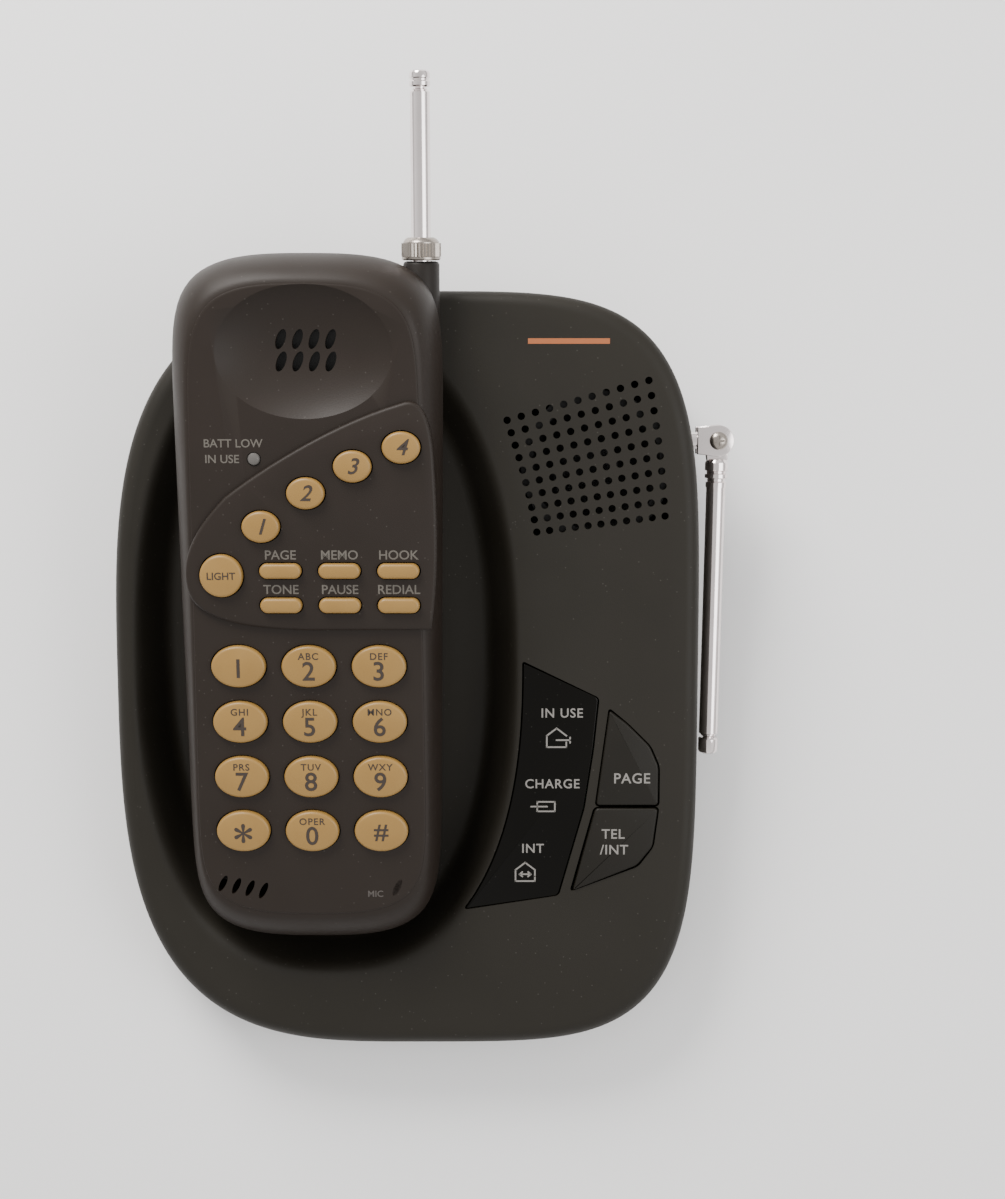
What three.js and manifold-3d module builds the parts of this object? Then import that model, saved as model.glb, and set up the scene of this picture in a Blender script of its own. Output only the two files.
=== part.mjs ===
// Cordless telephone: a handset with a telescopic aerial that lies in the cradle of a wedge-shaped base
// unit, which has a loudspeaker, a status window, two keys and a folding aerial of its own.
// Millimetres, +Z up, +Y towards the back of the base, +X towards its loudspeaker side.
import * as THREE from "three";
import { ParametricGeometry } from "three/addons/geometries/ParametricGeometry.js";
import { mergeVertices } from "three/addons/utils/BufferGeometryUtils.js";
import Module from "manifold-3d";

const wasm = await Module();
wasm.setup();

// ---------------------------------------------------------------- driving dimensions
const AROUND = 56; // corners round each moulded outline
const ROUND_SIDES = 20; // corners round each small turned part
const GAP = 0.3; // between pieces that touch
const WALL = 2.2; // thickness of every moulded casing

const handset = {
  length: 180,
  width: 67,
  thickness: 30, // at the battery
  earThickness: 24, // at the ear end
  tilt: THREE.MathUtils.degToRad(12),
  parting: 14, // depth of the line where front and back casings meet
  cornerAcross: 3, // exponents of the rounded outline
  cornerAlong: 12,
  topInset: 7, // from the outline to the edge of the flat face
  bottomInset: 10.5,
  sideInset: 4.6,
  backInset: 5,
  taper: 0.027, // widening towards the ear end, as a share
};
const cradle = {
  fingerGap: 16.5, // beside the handset
  frontGap: 7.7, // beyond the handset's lower end
  offset: 2.3, // of the handset to the left of the cradle's middle
  rearOverlap: 13.4, // the ear end lies this far over the deck
  widest: 83, // from the front rim to the widest place
  corner: 2.4, // exponent of the rim's outline
  wallRun: 6.5, // how far the side slopes in
  clearance: 1.25, // under the handset
  floorLowest: 6,
  lowEndLift: 1.8, // of the handset's lower end above the lowest floor
  deckClearance: 0.8, // least gap between the ear end and the deck behind the cradle
};
const base = {
  frontHeight: 20,
  rearHeight: 46,
  frontMargin: 22, // deck in front of the cradle's rim
  rearMargin: 11,
  sideMargin: 7,
  consoleWidth: 50, // deck beside the cradle
  parting: 10, // height of the line where the two casings meet
  underside: 2, // height of the bottom casing above the table
  floorWall: 1.5,
  edgeRadius: 4,
  draft: 1,
  cornerLeft: 3.2, // exponents of the rounded outline
  cornerRight: 4.4,
};
const keyTravel = 1.1;
const baseKeyTop = 0.5;
const baseKeyDeep = 3.4;

// ---------------------------------------------------------------- sizes that follow
const half = handset.length / 2;
const halfWide = handset.width / 2;
const tiltCos = Math.cos(handset.tilt);
const tiltSin = Math.sin(handset.tilt);
const rimHalfWide = halfWide + cradle.fingerGap;
const rimLength = handset.length * tiltCos + cradle.frontGap - cradle.rearOverlap;
const baseWide = base.sideMargin + 2 * rimHalfWide + base.consoleWidth;
const baseLong = base.frontMargin + rimLength + base.rearMargin;
const rimFront = -baseLong / 2 + base.frontMargin;
const cradleX = -baseWide / 2 + base.sideMargin + rimHalfWide;
const cradleY = rimFront + cradle.widest;
const rimRight = cradleX + rimHalfWide;
const deckSlope = Math.atan((base.rearHeight - base.frontHeight) / baseLong);
const deckMiddle = (base.frontHeight + base.rearHeight) / 2;
const deckAt = (y) => deckMiddle + y * Math.tan(deckSlope);

// The handset's back rests over the cradle's floor, or higher where its ear end has to clear the deck.
const seatY = rimFront + cradle.frontGap + half * tiltCos;
const backY = seatY + handset.thickness * tiltSin;
const earEnd = seatY + half * tiltCos + handset.thickness * tiltSin;
const narrowing = 1 - ((halfWide + cradle.offset) / rimHalfWide) ** cradle.corner;
const rimCorner = cradleY + (rimLength - cradle.widest) * narrowing ** (1 / cradle.corner);
const liftToClear = (y) => {
  const earUnder = (y - backY) * Math.tan(handset.tilt);
  const slimmer = (handset.thickness - handset.earThickness) / tiltCos;
  return deckAt(y) + cradle.deckClearance - earUnder - slimmer;
};
const backHeight = Math.max(
  cradle.floorLowest + cradle.lowEndLift + half * tiltSin,
  liftToClear(rimCorner),
  liftToClear(rimFront + rimLength),
  liftToClear(earEnd),
);

// The middle of the handset's face, in the base's frame.
const seat = new THREE.Vector3(
  cradleX - cradle.offset,
  seatY,
  backHeight + handset.thickness * tiltCos,
);
const floorAt = (y) => {
  const under = backHeight + (y - backY) * Math.tan(handset.tilt) - cradle.clearance;
  return Math.max(cradle.floorLowest, under);
};

// ---------------------------------------------------------------- solids and shapes
// A closed geometry as a manifold-3d solid with its faces pointing out.
function solid(geometry) {
  const bare = geometry.index ? geometry.toNonIndexed() : geometry.clone();
  const merged = mergeVertices(
    new THREE.BufferGeometry().setAttribute("position", bare.getAttribute("position")),
    1e-4,
  );
  const corners = merged.index.array;
  const kept = [];
  for (let i = 0; i < corners.length; i += 3) {
    const [a, b, c] = [corners[i], corners[i + 1], corners[i + 2]];
    if (a !== b && b !== c && c !== a) kept.push(a, b, c);
  }
  const build = (triangles) =>
    new wasm.Manifold(
      new wasm.Mesh({
        numProp: 3,
        vertProperties: merged.attributes.position.array,
        triVerts: new Uint32Array(triangles),
      }),
    );
  const made = build(kept);
  if (made.volume() > 0) return made;
  return build(kept.reverse());
}

function geometryOf(made) {
  const mesh = made.getMesh();
  const positions = new Float32Array(mesh.numVert * 3);
  for (let i = 0; i < mesh.numVert; i++) {
    positions.set(mesh.vertProperties.subarray(i * mesh.numProp, i * mesh.numProp + 3), i * 3);
  }
  const geometry = new THREE.BufferGeometry();
  geometry.setAttribute("position", new THREE.BufferAttribute(positions, 3));
  geometry.setIndex(new THREE.BufferAttribute(new Uint32Array(mesh.triVerts), 1));
  return geometry;
}

const joined = (solids) => solids.reduce((sum, each) => sum.add(each));

// A closed skin over a stack of rings, with each end fanned to its ring's middle.
function skin(rings) {
  const count = rings[0].length;
  const middle = (ring) =>
    ring.reduce((sum, p) => sum.add(p), new THREE.Vector3()).divideScalar(ring.length);
  const first = middle(rings[0]);
  const last = middle(rings.at(-1));
  const rows = [rings[0].map(() => first), ...rings, rings.at(-1).map(() => last)];
  const place = (u, v, target) =>
    target.copy(rows[Math.round(v * (rows.length - 1))][Math.round(u * count) % count]);
  return solid(new ParametricGeometry(place, count, rows.length - 1));
}

// A rounded outline: |x/a|^across + |y/b|^along = 1, with sizes and exponents for each side.
function outline({ x, y, left, right, low, high, across, along, leftAcross, leftAlong }, height) {
  const points = [];
  for (let i = 0; i < AROUND; i++) {
    const turn = (i / AROUND) * 2 * Math.PI;
    const [c, s] = [Math.cos(turn), Math.sin(turn)];
    const n = c < 0 ? (leftAcross ?? across) : across;
    const m = c < 0 ? (leftAlong ?? along) : along;
    const px = (c < 0 ? left : right) * Math.sign(c) * Math.abs(c) ** (2 / n);
    const py = (s < 0 ? low : high) * Math.sign(s) * Math.abs(s) ** (2 / m);
    points.push(new THREE.Vector3(x + px, y + py, height(x + px, y + py)));
  }
  return points;
}

function shapeOf(points) {
  return new THREE.Shape(points.map(([x, y]) => new THREE.Vector2(x, y)));
}

// A straight-sided solid over a shape, from one height to another.
function prism(shape, from, to, curveSegments = 6) {
  const made = new THREE.ExtrudeGeometry(shape, {
    depth: to - from,
    bevelEnabled: false,
    curveSegments,
  });
  made.translate(0, 0, from);
  return solid(made);
}

function box(x0, x1, y0, y1, z0, z1) {
  const made = new THREE.BoxGeometry(x1 - x0, y1 - y0, z1 - z0);
  made.translate((x0 + x1) / 2, (y0 + y1) / 2, (z0 + z1) / 2);
  return solid(made);
}

// A turned solid about +Z from a list of [radius, height].
function turned(profile, sides = ROUND_SIDES) {
  const points = profile.map(([r, h]) => new THREE.Vector2(r, h));
  return solid(new THREE.LatheGeometry(points, sides)).rotate([90, 0, 0]);
}

const disc = (radius, from, to, sides = ROUND_SIDES) =>
  turned([[0, from], [radius, from], [radius, to], [0, to]], sides);

const pipe = (outer, inner, from, to, sides = ROUND_SIDES) =>
  turned([[inner, from], [outer, from], [outer, to], [inner, to], [inner, from]], sides);

const degrees = (radians) => THREE.MathUtils.radToDeg(radians);
const alongY = (made) => made.rotate([-90, 0, 0]);
const alongX = (made) => made.rotate([0, 90, 0]);

function ellipseShape(x, y, rx, ry, lean = 0) {
  const shape = new THREE.Shape();
  shape.absellipse(x, y, rx, ry, 0, 2 * Math.PI, false, lean);
  return shape;
}

// ---------------------------------------------------------------- materials
const plastic = (color, roughness) =>
  new THREE.MeshStandardMaterial({ color, roughness, metalness: 0 });
const metal = (color, roughness) =>
  new THREE.MeshStandardMaterial({ color, roughness, metalness: 1 });
const charcoal = plastic(0x3a3632, 0.55);
const handsetCharcoal = plastic(0x3b3431, 0.5);
const smoked = plastic(0x0b0a08, 0.08);
const amber = plastic(0xc99c5c, 0.45);
const rubber = plastic(0x1a1918, 0.8);
const board = plastic(0x2c5a34, 0.6);
const black = plastic(0x151413, 0.5);
const grey = plastic(0x8d8a86, 0.4);
const cell = plastic(0x39608a, 0.5);
const chrome = metal(0xc8c4c4, 0.15);
const steel = metal(0xa8a6a2, 0.35);
const gilt = metal(0xc9a654, 0.3);

const root = new THREE.Group();
const deckGroup = new THREE.Group();
deckGroup.position.set(0, 0, deckMiddle);
deckGroup.rotation.x = deckSlope;
const handsetGroup = new THREE.Group();
handsetGroup.position.copy(seat);
handsetGroup.rotation.x = handset.tilt;
root.add(deckGroup, handsetGroup);

function piece(name, made, material, parent = root) {
  const mesh = new THREE.Mesh(geometryOf(made), material);
  mesh.name = name;
  parent.add(mesh);
  return mesh;
}

// Turns a solid drawn on the sloping deck into the base's frame.
const fromDeck = (made) => made.rotate([degrees(deckSlope), 0, 0]).translate([0, 0, deckMiddle]);

// ---------------------------------------------------------------- base casings
const baseOutline = (inset) => ({
  x: 0,
  y: 0,
  left: baseWide / 2 - inset,
  right: baseWide / 2 - inset,
  low: baseLong / 2 - inset,
  high: baseLong / 2 - inset,
  across: base.cornerRight,
  along: base.cornerRight,
  leftAcross: base.cornerLeft,
  leftAlong: base.cornerLeft,
});
const rimOutline = (inset) => ({
  x: cradleX,
  y: cradleY,
  left: rimHalfWide - inset,
  right: rimHalfWide - inset,
  low: cradle.widest - inset,
  high: rimLength - cradle.widest - inset,
  across: cradle.corner,
  along: cradle.corner,
});

// The wedge with a rounded top edge, in by inset all round and under the top.
function wedge(inset, from) {
  const rings = [outline(baseOutline(inset), () => from)];
  const steps = 4;
  for (let i = 0; i <= steps; i++) {
    const turn = (i / steps) * (Math.PI / 2);
    const inward = base.draft + base.edgeRadius * (1 - Math.cos(turn));
    const down = base.edgeRadius * (1 - Math.sin(turn));
    rings.push(outline(baseOutline(inset + inward), (x, y) => deckAt(y) - inset - down));
  }
  return skin(rings);
}

// The hollow that the handset lies in, grown outwards by grow, open above the deck.
function hollow(grow) {
  const floor = (x, y) => floorAt(y) - grow;
  const rings = [0.35, 0.7].map((share) => {
    const edge = rimOutline(cradle.wallRun - grow);
    const shrunk = Object.fromEntries(
      ["left", "right", "low", "high"].map((side) => [side, edge[side] * share]),
    );
    return outline({ ...edge, ...shrunk }, floor);
  });
  rings.push(outline(rimOutline(cradle.wallRun - grow), floor));
  rings.push(outline(rimOutline(-grow), (x, y) => deckAt(y)));
  rings.push(outline(rimOutline(-grow), (x, y) => deckAt(y) + base.rearHeight));
  return skin(rings);
}

const bossPlaces = [
  [-baseWide / 2 + 27, -baseLong / 2 + 16],
  [baseWide / 2 - 17, -baseLong / 2 + 18],
];
const screwRadius = 1.5;
const bossRadius = 4;

// Openings through the deck beside the cradle, drawn on the sloping deck.
const rimSideAt = (y) => {
  const reach = y < cradleY ? cradle.widest : rimLength - cradle.widest;
  const share = 1 - Math.min(1, Math.abs(y - cradleY) / reach) ** cradle.corner;
  return cradleX + rimHalfWide * share ** (1 / cradle.corner);
};
const consoleFront = -baseLong / 2;
const windowEdge = { foot: consoleFront + 38, head: consoleFront + 106 };
const windowLand = 2; // deck between the rim and the window
const windowRight = [
  [rimRight + 12, consoleFront + 42],
  [rimRight + 18.8, consoleFront + 66],
  [rimRight + 21.2, consoleFront + 82],
  [rimRight + 22.6, consoleFront + 96],
];
function windowShape(inset) {
  const left = [];
  const steps = 6;
  for (let i = 0; i <= steps; i++) {
    const y = THREE.MathUtils.lerp(windowEdge.head - 2 * inset, windowEdge.foot + inset, i / steps);
    left.push([rimSideAt(y) + windowLand + inset, y]);
  }
  return shapeOf([...left, ...windowRight.map(([x, y]) => [x - inset, y])]);
}

const keyLand = 2.6; // deck between the window and the keys
const keyRight = baseWide / 2 - 11.2;
const keySplit = consoleFront + 66.5;
function upperKeyShape(inset) {
  const left = rimRight + 18.8 + keyLand;
  return shapeOf([
    [left + inset, keySplit + inset],
    [keyRight - inset, keySplit + inset],
    [keyRight - inset, keySplit + 11],
    [keyRight - 2.4 - inset, keySplit + 16.5],
    [left + 9 - inset, keySplit + 22.5],
    [left + 3.6 + inset / 2, keySplit + 27 - 2 * inset],
  ]);
}
function lowerKeyShape(inset) {
  const left = rimRight + 18.8 + keyLand;
  return shapeOf([
    [left - 6.6 + 2 * inset, keySplit - 23.5 + inset],
    [keyRight - 5.5 - inset, keySplit - 16.5 + inset],
    [keyRight - 1.4 - inset, keySplit - 11],
    [keyRight - inset, keySplit - inset],
    [left - 0.2 + inset, keySplit - inset],
  ]);
}

const grille = {
  columns: 11,
  rows: 10,
  holeRadius: 1.1,
  bulge: 0.6,
  nearRim: [-2, 5.8], // from the rim's widest place, at the back and at the front
  nearEdge: [15.2, 10.6], // from the outer side
  fromRear: [34, 23.7, 59, 63.2], // back inner, back outer, front outer, front inner
};
function grillePlace(column, row) {
  const across = column / (grille.columns - 1);
  const down = row / (grille.rows - 1);
  const back = [
    THREE.MathUtils.lerp(rimRight + grille.nearRim[0], baseWide / 2 - grille.nearEdge[0], across),
    baseLong / 2 - THREE.MathUtils.lerp(grille.fromRear[0], grille.fromRear[1], across),
  ];
  const front = [
    THREE.MathUtils.lerp(rimRight + grille.nearRim[1], baseWide / 2 - grille.nearEdge[1], across),
    baseLong / 2 - THREE.MathUtils.lerp(grille.fromRear[3], grille.fromRear[2], across),
  ];
  const bulge = grille.bulge * Math.sin(Math.PI * down);
  return [
    THREE.MathUtils.lerp(back[0], front[0], down) + bulge,
    THREE.MathUtils.lerp(back[1], front[1], down),
  ];
}

// Sockets in the rear wall.
const socketX = { line: baseWide / 2 - 44, power: baseWide / 2 - 68 };
const lineSocket = { wide: 13, tall: 12, deep: 15, low: 12 };
const powerInlet = { wide: 11, tall: 11, deep: 13, low: 12 };
const rearWallInset = WALL + 1.6;

// The folding aerial's swivel, in the side wall.
const swivel = {
  y: baseLong / 2 - 38.5,
  z: deckAt(baseLong / 2 - 38.5) - 14,
  x: baseWide / 2 + 4.4,
  shaft: 2.25,
  flange: 3.6,
};

// Spring contacts that rise through the cradle's floor.
const contact = { across: 24.5, along: -66, wide: 4, long: 9, thick: 0.5 };
const contactY = seat.y + contact.along * tiltCos + handset.thickness * tiltSin;

function baseTopCover() {
  const inside = wedge(WALL, base.parting - 1).subtract(hollow(WALL));
  let made = wedge(0, base.parting + GAP / 2).subtract(hollow(0)).subtract(inside);
  const floorPart = hollow(WALL)
    .subtract(hollow(0))
    .intersect(box(-baseWide, baseWide, -baseLong, baseLong, 0, base.parting + GAP));
  made = made.add(floorPart);
  const solidWedge = wedge(WALL / 2, base.parting - 1);
  const bosses = bossPlaces.map(([x, y]) =>
    disc(bossRadius, base.parting + GAP / 2, base.rearHeight, 12)
      .translate([x, y, 0])
      .intersect(solidWedge),
  );
  made = joined([made, ...bosses]);
  const drills = bossPlaces.map(([x, y]) =>
    disc(screwRadius + GAP, base.parting - 2, base.parting + 8, 12).translate([x, y, 0]),
  );
  const holes = [];
  for (let column = 0; column < grille.columns; column++) {
    for (let row = 0; row < grille.rows; row++) {
      const [x, y] = grillePlace(column, row);
      holes.push(disc(grille.holeRadius, -WALL - 2, 2, 6).translate([x, y, 0]));
    }
  }
  const openings = [
    prism(windowShape(0), -1.6, 4),
    prism(windowShape(2), -WALL - 4, 4),
    prism(upperKeyShape(0), -WALL - 2, 4),
    prism(lowerKeyShape(0), -WALL - 2, 4),
  ];
  const throughDeck = fromDeck(joined([...holes, ...openings]));
  const rearSlots = [
    rearSlot(socketX.line, lineSocket),
    rearSlot(socketX.power, powerInlet),
  ];
  const bearing = alongX(disc(swivel.shaft + GAP, -8, 8)).translate([
    baseWide / 2,
    swivel.y,
    swivel.z,
  ]);
  const contactSlots = [-1, 1].map((side) => contactSlot(side));
  return [...drills, throughDeck, ...rearSlots, bearing, ...contactSlots].reduce(
    (left, cut) => left.subtract(cut),
    made,
  );
}

function rearSlot(x, socket) {
  return box(
    x - socket.wide / 2 - GAP,
    x + socket.wide / 2 + GAP,
    baseLong / 2 - socket.deep,
    baseLong / 2 + 5,
    socket.low - GAP,
    socket.low + socket.tall + GAP,
  );
}

function contactSlot(side) {
  const x = seat.x + side * contact.across;
  return box(
    x - contact.wide / 2 - GAP,
    x + contact.wide / 2 + GAP,
    contactY - contact.long / 2 - GAP,
    contactY + contact.long / 2 + GAP,
    0,
    floorAt(contactY) + 6,
  );
}

function baseBottomCover() {
  const tray = (inset, floor, top) =>
    skin([
      outline(baseOutline(inset + 3), () => floor),
      outline(baseOutline(inset + 0.8), () => floor + 1.2),
      outline(baseOutline(inset), () => floor + 3.4),
      outline(baseOutline(inset), () => top),
    ]);
  const made = tray(0, base.underside, base.parting - GAP / 2).subtract(
    tray(WALL, base.underside + base.floorWall, base.parting + 2),
  );
  const posts = bossPlaces.map(([x, y]) =>
    disc(bossRadius, base.underside + 0.5, base.parting - GAP / 2, 12).translate([x, y, 0]),
  );
  const holes = bossPlaces.map(([x, y]) =>
    joined([
      disc(screwRadius + GAP, 0, base.parting + 2, 12),
      disc(screwHead + GAP, 0, base.underside + screwHeadDeep, 12),
    ]).translate([x, y, 0]),
  );
  return holes.reduce((left, cut) => left.subtract(cut), joined([made, ...posts]));
}

const screwHead = 2.7;
const screwHeadDeep = 3;
function casingScrew(length) {
  const slot = joined([box(-1.6, 1.6, -0.3, 0.3, -1, 0.8), box(-0.3, 0.3, -1.6, 1.6, -1, 0.8)]);
  return turned([[0, 0], [screwHead, 0], [screwHead, 2], [screwRadius, 2], [screwRadius, length], [0, length]], 12)
    .subtract(slot);
}

piece("base_top_cover", baseTopCover(), charcoal);
piece("base_bottom_cover", baseBottomCover(), charcoal);
bossPlaces.forEach(([x, y], i) => {
  const lift = base.underside + screwHeadDeep - 2 - GAP;
  piece(`base_screw_${i ? "right" : "left"}`, casingScrew(11).translate([x, y, lift]), steel);
});

// Four rubber feet under the bottom casing, each held in a ring of the underside.
const foot = { radius: 6.5, height: base.underside - 0.05 };
const footPlaces = {
  front_left: [-baseWide / 2 + 45, -baseLong / 2 + 14],
  front_right: [baseWide / 2 - 33, -baseLong / 2 + 13],
  rear_left: [-baseWide / 2 + 40, baseLong / 2 - 14],
  rear_right: [baseWide / 2 - 33, baseLong / 2 - 13],
};
for (const [place, [x, y]] of Object.entries(footPlaces)) {
  const profile = [[0, 0], [foot.radius - 0.6, 0], [foot.radius, 0.7], [foot.radius, foot.height]];
  const made = turned([...profile, [0, foot.height]], 16);
  piece(`foot_${place}`, made.translate([x, y, 0]), rubber);
}

// ---------------------------------------------------------------- inside the base
const boardTop = base.underside + base.floorWall + 3.2;
const lampPlaces = [0.2, 0.52, 0.84].map((share) => {
  const y = THREE.MathUtils.lerp(windowEdge.head, windowEdge.foot, share);
  return [Math.max(rimRight + 6.5, rimSideAt(y) + 12 - 5 * share), y];
});
const switchPlaces = [-8, 9].map((y) => [(rimRight + 19 + keyRight) / 2, keySplit + y]);
const post = ([x, y], radius, under) => {
  const top = deckAt(y) - under;
  const profile = [[0, boardTop - 0.2], [radius, boardTop - 0.2], [radius, top - 1], [radius - 0.6, top]];
  return turned([...profile, [0, top]], 12).translate([x, y, 0]);
};
function baseCircuitBoard() {
  const [x0, x1] = [rimRight + 3.5, baseWide / 2 - 9];
  const [y0, y1] = [-baseLong / 2 + 28, baseLong / 2 - 28];
  const middle = (x0 + x1) / 2;
  const onBoard = boardTop - 0.2;
  return joined([
    box(x0, x1, y0, y1, boardTop - 1.6, boardTop),
    box(x0 + 4, middle - 1, y0 + 60, y0 + 84, onBoard, boardTop + 7),
    box(middle + 3, x1 - 3, y0 + 56, y0 + 70, onBoard, boardTop + 4),
    box(middle - 9, middle + 9, y0 + 6, y0 + 24, onBoard, boardTop + 3.5),
    disc(5, onBoard, boardTop + 12, 12).translate([x0 + 9, y1 - 12, 0]),
    disc(4, onBoard, boardTop + 10, 12).translate([x1 - 8, y1 - 26, 0]),
    disc(4, onBoard, boardTop + 10, 12).translate([x0 + 8, y1 - 30, 0]),
    ...lampPlaces.map((place) => post(place, 1.6, 6)),
    ...switchPlaces.map((place) => post(place, 2.4, baseKeyDeep + keyTravel + 1)),
  ]);
}
piece("base_circuit_board", baseCircuitBoard(), board);

function loudspeaker() {
  return turned([
    [0, -14],
    [9, -14],
    [9, -8],
    [12, -8],
    [17.5, -3.4],
    [20, -3.4],
    [20, -1],
    [17, -1],
    [6, -5],
    [0, -4],
  ]);
}
const speakerPlace = [(rimRight + baseWide / 2) / 2 - 3.5, baseLong / 2 - 46];
piece(
  "base_loudspeaker",
  loudspeaker().translate([...speakerPlace, -WALL - 0.1]),
  black,
  deckGroup,
);

piece("status_window", prism(windowShape(GAP), -1.6 + GAP, 0), smoked, deckGroup);

// Two keys that press straight down onto switches on the board.
const baseKey = (shape) => prism(shape, -baseKeyDeep, baseKeyTop);
piece("page_key", baseKey(upperKeyShape(GAP + 0.1)), charcoal, deckGroup);
piece("intercom_key", baseKey(lowerKeyShape(GAP + 0.1)), charcoal, deckGroup);
// A bent strip of spring metal: a crown above the floor and one leg down inside.
function springContact(side) {
  const floor = floorAt(contactY);
  const crown = new THREE.Shape();
  const { long, thick } = contact;
  crown.moveTo(-long / 2, floor - 3.2);
  crown.lineTo(-long / 2 + thick, floor - 3.2);
  crown.lineTo(-long / 2 + thick, floor - 0.6);
  crown.lineTo(-1, floor + 0.5 - thick);
  crown.lineTo(1, floor + 0.5 - thick);
  crown.lineTo(long / 2 - thick, floor - 1.2);
  crown.lineTo(long / 2, floor - 0.9);
  crown.lineTo(1.2, floor + 0.5);
  crown.lineTo(-1.2, floor + 0.5);
  crown.lineTo(-long / 2, floor - 0.4);
  const strip = prism(crown, -contact.wide / 2, contact.wide / 2);
  const upright = strip.rotate([90, 0, 90]);
  return upright.translate([seat.x + side * contact.across, contactY, 0]);
}
piece("charge_spring_left", springContact(-1), gilt);
piece("charge_spring_right", springContact(1), gilt);

function socketBody(x, socket, bore) {
  const back = baseLong / 2 - rearWallInset;
  const body = box(
    x - socket.wide / 2,
    x + socket.wide / 2,
    back - socket.deep + 4,
    back + 1.5,
    socket.low,
    socket.low + socket.tall,
  );
  return body.subtract(bore(x, back + 1.5, socket.low + socket.tall / 2));
}
const lineBore = (x, face, z) =>
  joined([
    box(x - 4.9, x + 4.9, face - 9, face + 1, z - 3.6, z + 3.2),
    box(x - 2, x + 2, face - 9, face + 1, z - 5, z),
  ]);
const powerBore = (x, face, z) =>
  alongY(pipe(3, 1, -8, 1)).translate([x, face, z]);
piece("line_socket", socketBody(socketX.line, lineSocket, lineBore), black);
piece("power_inlet", socketBody(socketX.power, powerInlet, powerBore), black);

// ---------------------------------------------------------------- the base's folding aerial
// Drawn with the pivot screw at the origin and the rod along -Y, then laid beside the casing.
const baseAerial = {
  ear: 4.2,
  earThick: 1.5,
  tongue: 3.5,
  tongueThick: 2.4,
  screw: 1.6,
  head: 3.1,
  length: 80,
  end: 4.5,
  lean: THREE.MathUtils.degToRad(-0.9), // towards the casing when folded
};
const aerialGroup = new THREE.Group();
aerialGroup.position.set(swivel.x, swivel.y, swivel.z);
aerialGroup.rotation.x = deckSlope;
root.add(aerialGroup);

function aerialBracket() {
  const { ear, earThick, tongue, tongueThick, screw } = baseAerial;
  const inner = tongueThick / 2 + GAP;
  const outer = inner + earThick;
  const yoke = [-5.6, -tongue - 0.6];
  const arm = (from, to) =>
    joined([disc(ear, from, to), box(yoke[0], 0, -ear + 0.6, ear - 0.6, from, to)]);
  const block = box(...yoke, -ear + 0.6, ear - 0.6, -outer, outer);
  const wallFace = -10.4; // the casing's inner face, seen from the pivot
  const shaft = alongX(
    joined([
      disc(swivel.shaft, wallFace - 3, yoke[0] + 0.5),
      disc(swivel.flange, wallFace - 2.6, wallFace - 1),
    ]),
  );
  const made = joined([arm(inner, outer), arm(-outer, -inner), block, shaft]);
  return made.subtract(disc(screw + 0.15, -8, 8));
}
piece("aerial_bracket", aerialBracket(), chrome, aerialGroup);

function pivotScrew() {
  const { earThick, tongueThick, screw } = baseAerial;
  const top = tongueThick / 2 + GAP + earThick;
  const cross = joined([box(-1.5, 1.5, -0.3, 0.3, 0.6, 4), box(-0.3, 0.3, -1.5, 1.5, 0.6, 4)]);
  const head = turned([[0, -0.6], [2.4, -0.6], [2.4, 0.5], [1.5, 1.3], [0, 1.5]], 16).subtract(cross);
  return joined([disc(screw, -top - 0.8, top + 0.6, 16), head.translate([0, 0, top + 0.7])]);
}
piece("aerial_pivot_screw", pivotScrew(), steel, aerialGroup);

const rodGroup = new THREE.Group();
rodGroup.rotation.z = baseAerial.lean;
aerialGroup.add(rodGroup);

// The rod's sections, nested at rest, each [outer radius, inner radius].
const baseSections = [[2.6, 2.15], [2, 1.55], [1.4, 0]];
const headEnd = -12.5;
function baseRodOuter() {
  const { tongue, tongueThick, screw, head, length } = baseAerial;
  const blade = joined([
    disc(tongue, -tongueThick / 2, tongueThick / 2),
    box(-head + 0.6, head - 0.6, -7, 0, -tongueThick / 2, tongueThick / 2),
  ]);
  const knob = alongY(
    turned([
      [0, headEnd],
      [head - 0.3, headEnd],
      [head - 0.3, -11.2],
      [head - 0.7, -10.9],
      [head - 0.7, -10.3],
      [head, -10],
      [head, -9],
      [head - 0.5, -8.7],
      [head - 0.5, -8.3],
      [head, -8],
      [head, -5.6],
      [head - 0.6, -5],
      [0, -5],
    ]),
  );
  const [outer, inner] = baseSections[0];
  const tube = alongY(pipe(outer, inner, -length, headEnd + 0.5));
  return joined([blade.subtract(disc(screw + 0.15, -5, 5)), knob, tube]);
}
piece("base_aerial_outer", baseRodOuter(), chrome, rodGroup);
const baseSectionEnd = -baseAerial.length;
const middlePipe = pipe(baseSections[1][0], baseSections[1][1], baseSectionEnd - 0.6, headEnd - 1.5);
piece("base_aerial_middle", alongY(middlePipe), chrome, rodGroup);
const tipRadius = 2.7;
const baseTip = turned([
  [0, baseSectionEnd - 0.9 - baseAerial.end],
  [tipRadius - 0.9, baseSectionEnd - 0.9 - baseAerial.end],
  [tipRadius, baseSectionEnd - baseAerial.end],
  [tipRadius, baseSectionEnd - 0.9],
  [baseSections[2][0], baseSectionEnd - 0.9],
  [baseSections[2][0], headEnd - 2.5],
  [0, headEnd - 2.5],
]);
piece("base_aerial_inner", alongY(baseTip), chrome, rodGroup);

// ---------------------------------------------------------------- handset casings
// In the handset's own frame: x across, y towards the ear end, z out of the flat face, which is z = 0.
function handsetRing(sides, ends, lowEnds, height, taper = handset.taper) {
  const ring = outline(
    {
      x: 0,
      y: 0,
      left: halfWide - sides,
      right: halfWide - sides,
      low: half - lowEnds,
      high: half - ends,
      across: handset.cornerAcross,
      along: handset.cornerAlong,
    },
    () => 0,
  );
  return ring.map((p) => {
    const x = p.x * (1 + (taper * p.y) / half);
    return new THREE.Vector3(x, p.y, height(p.y));
  });
}

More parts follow.
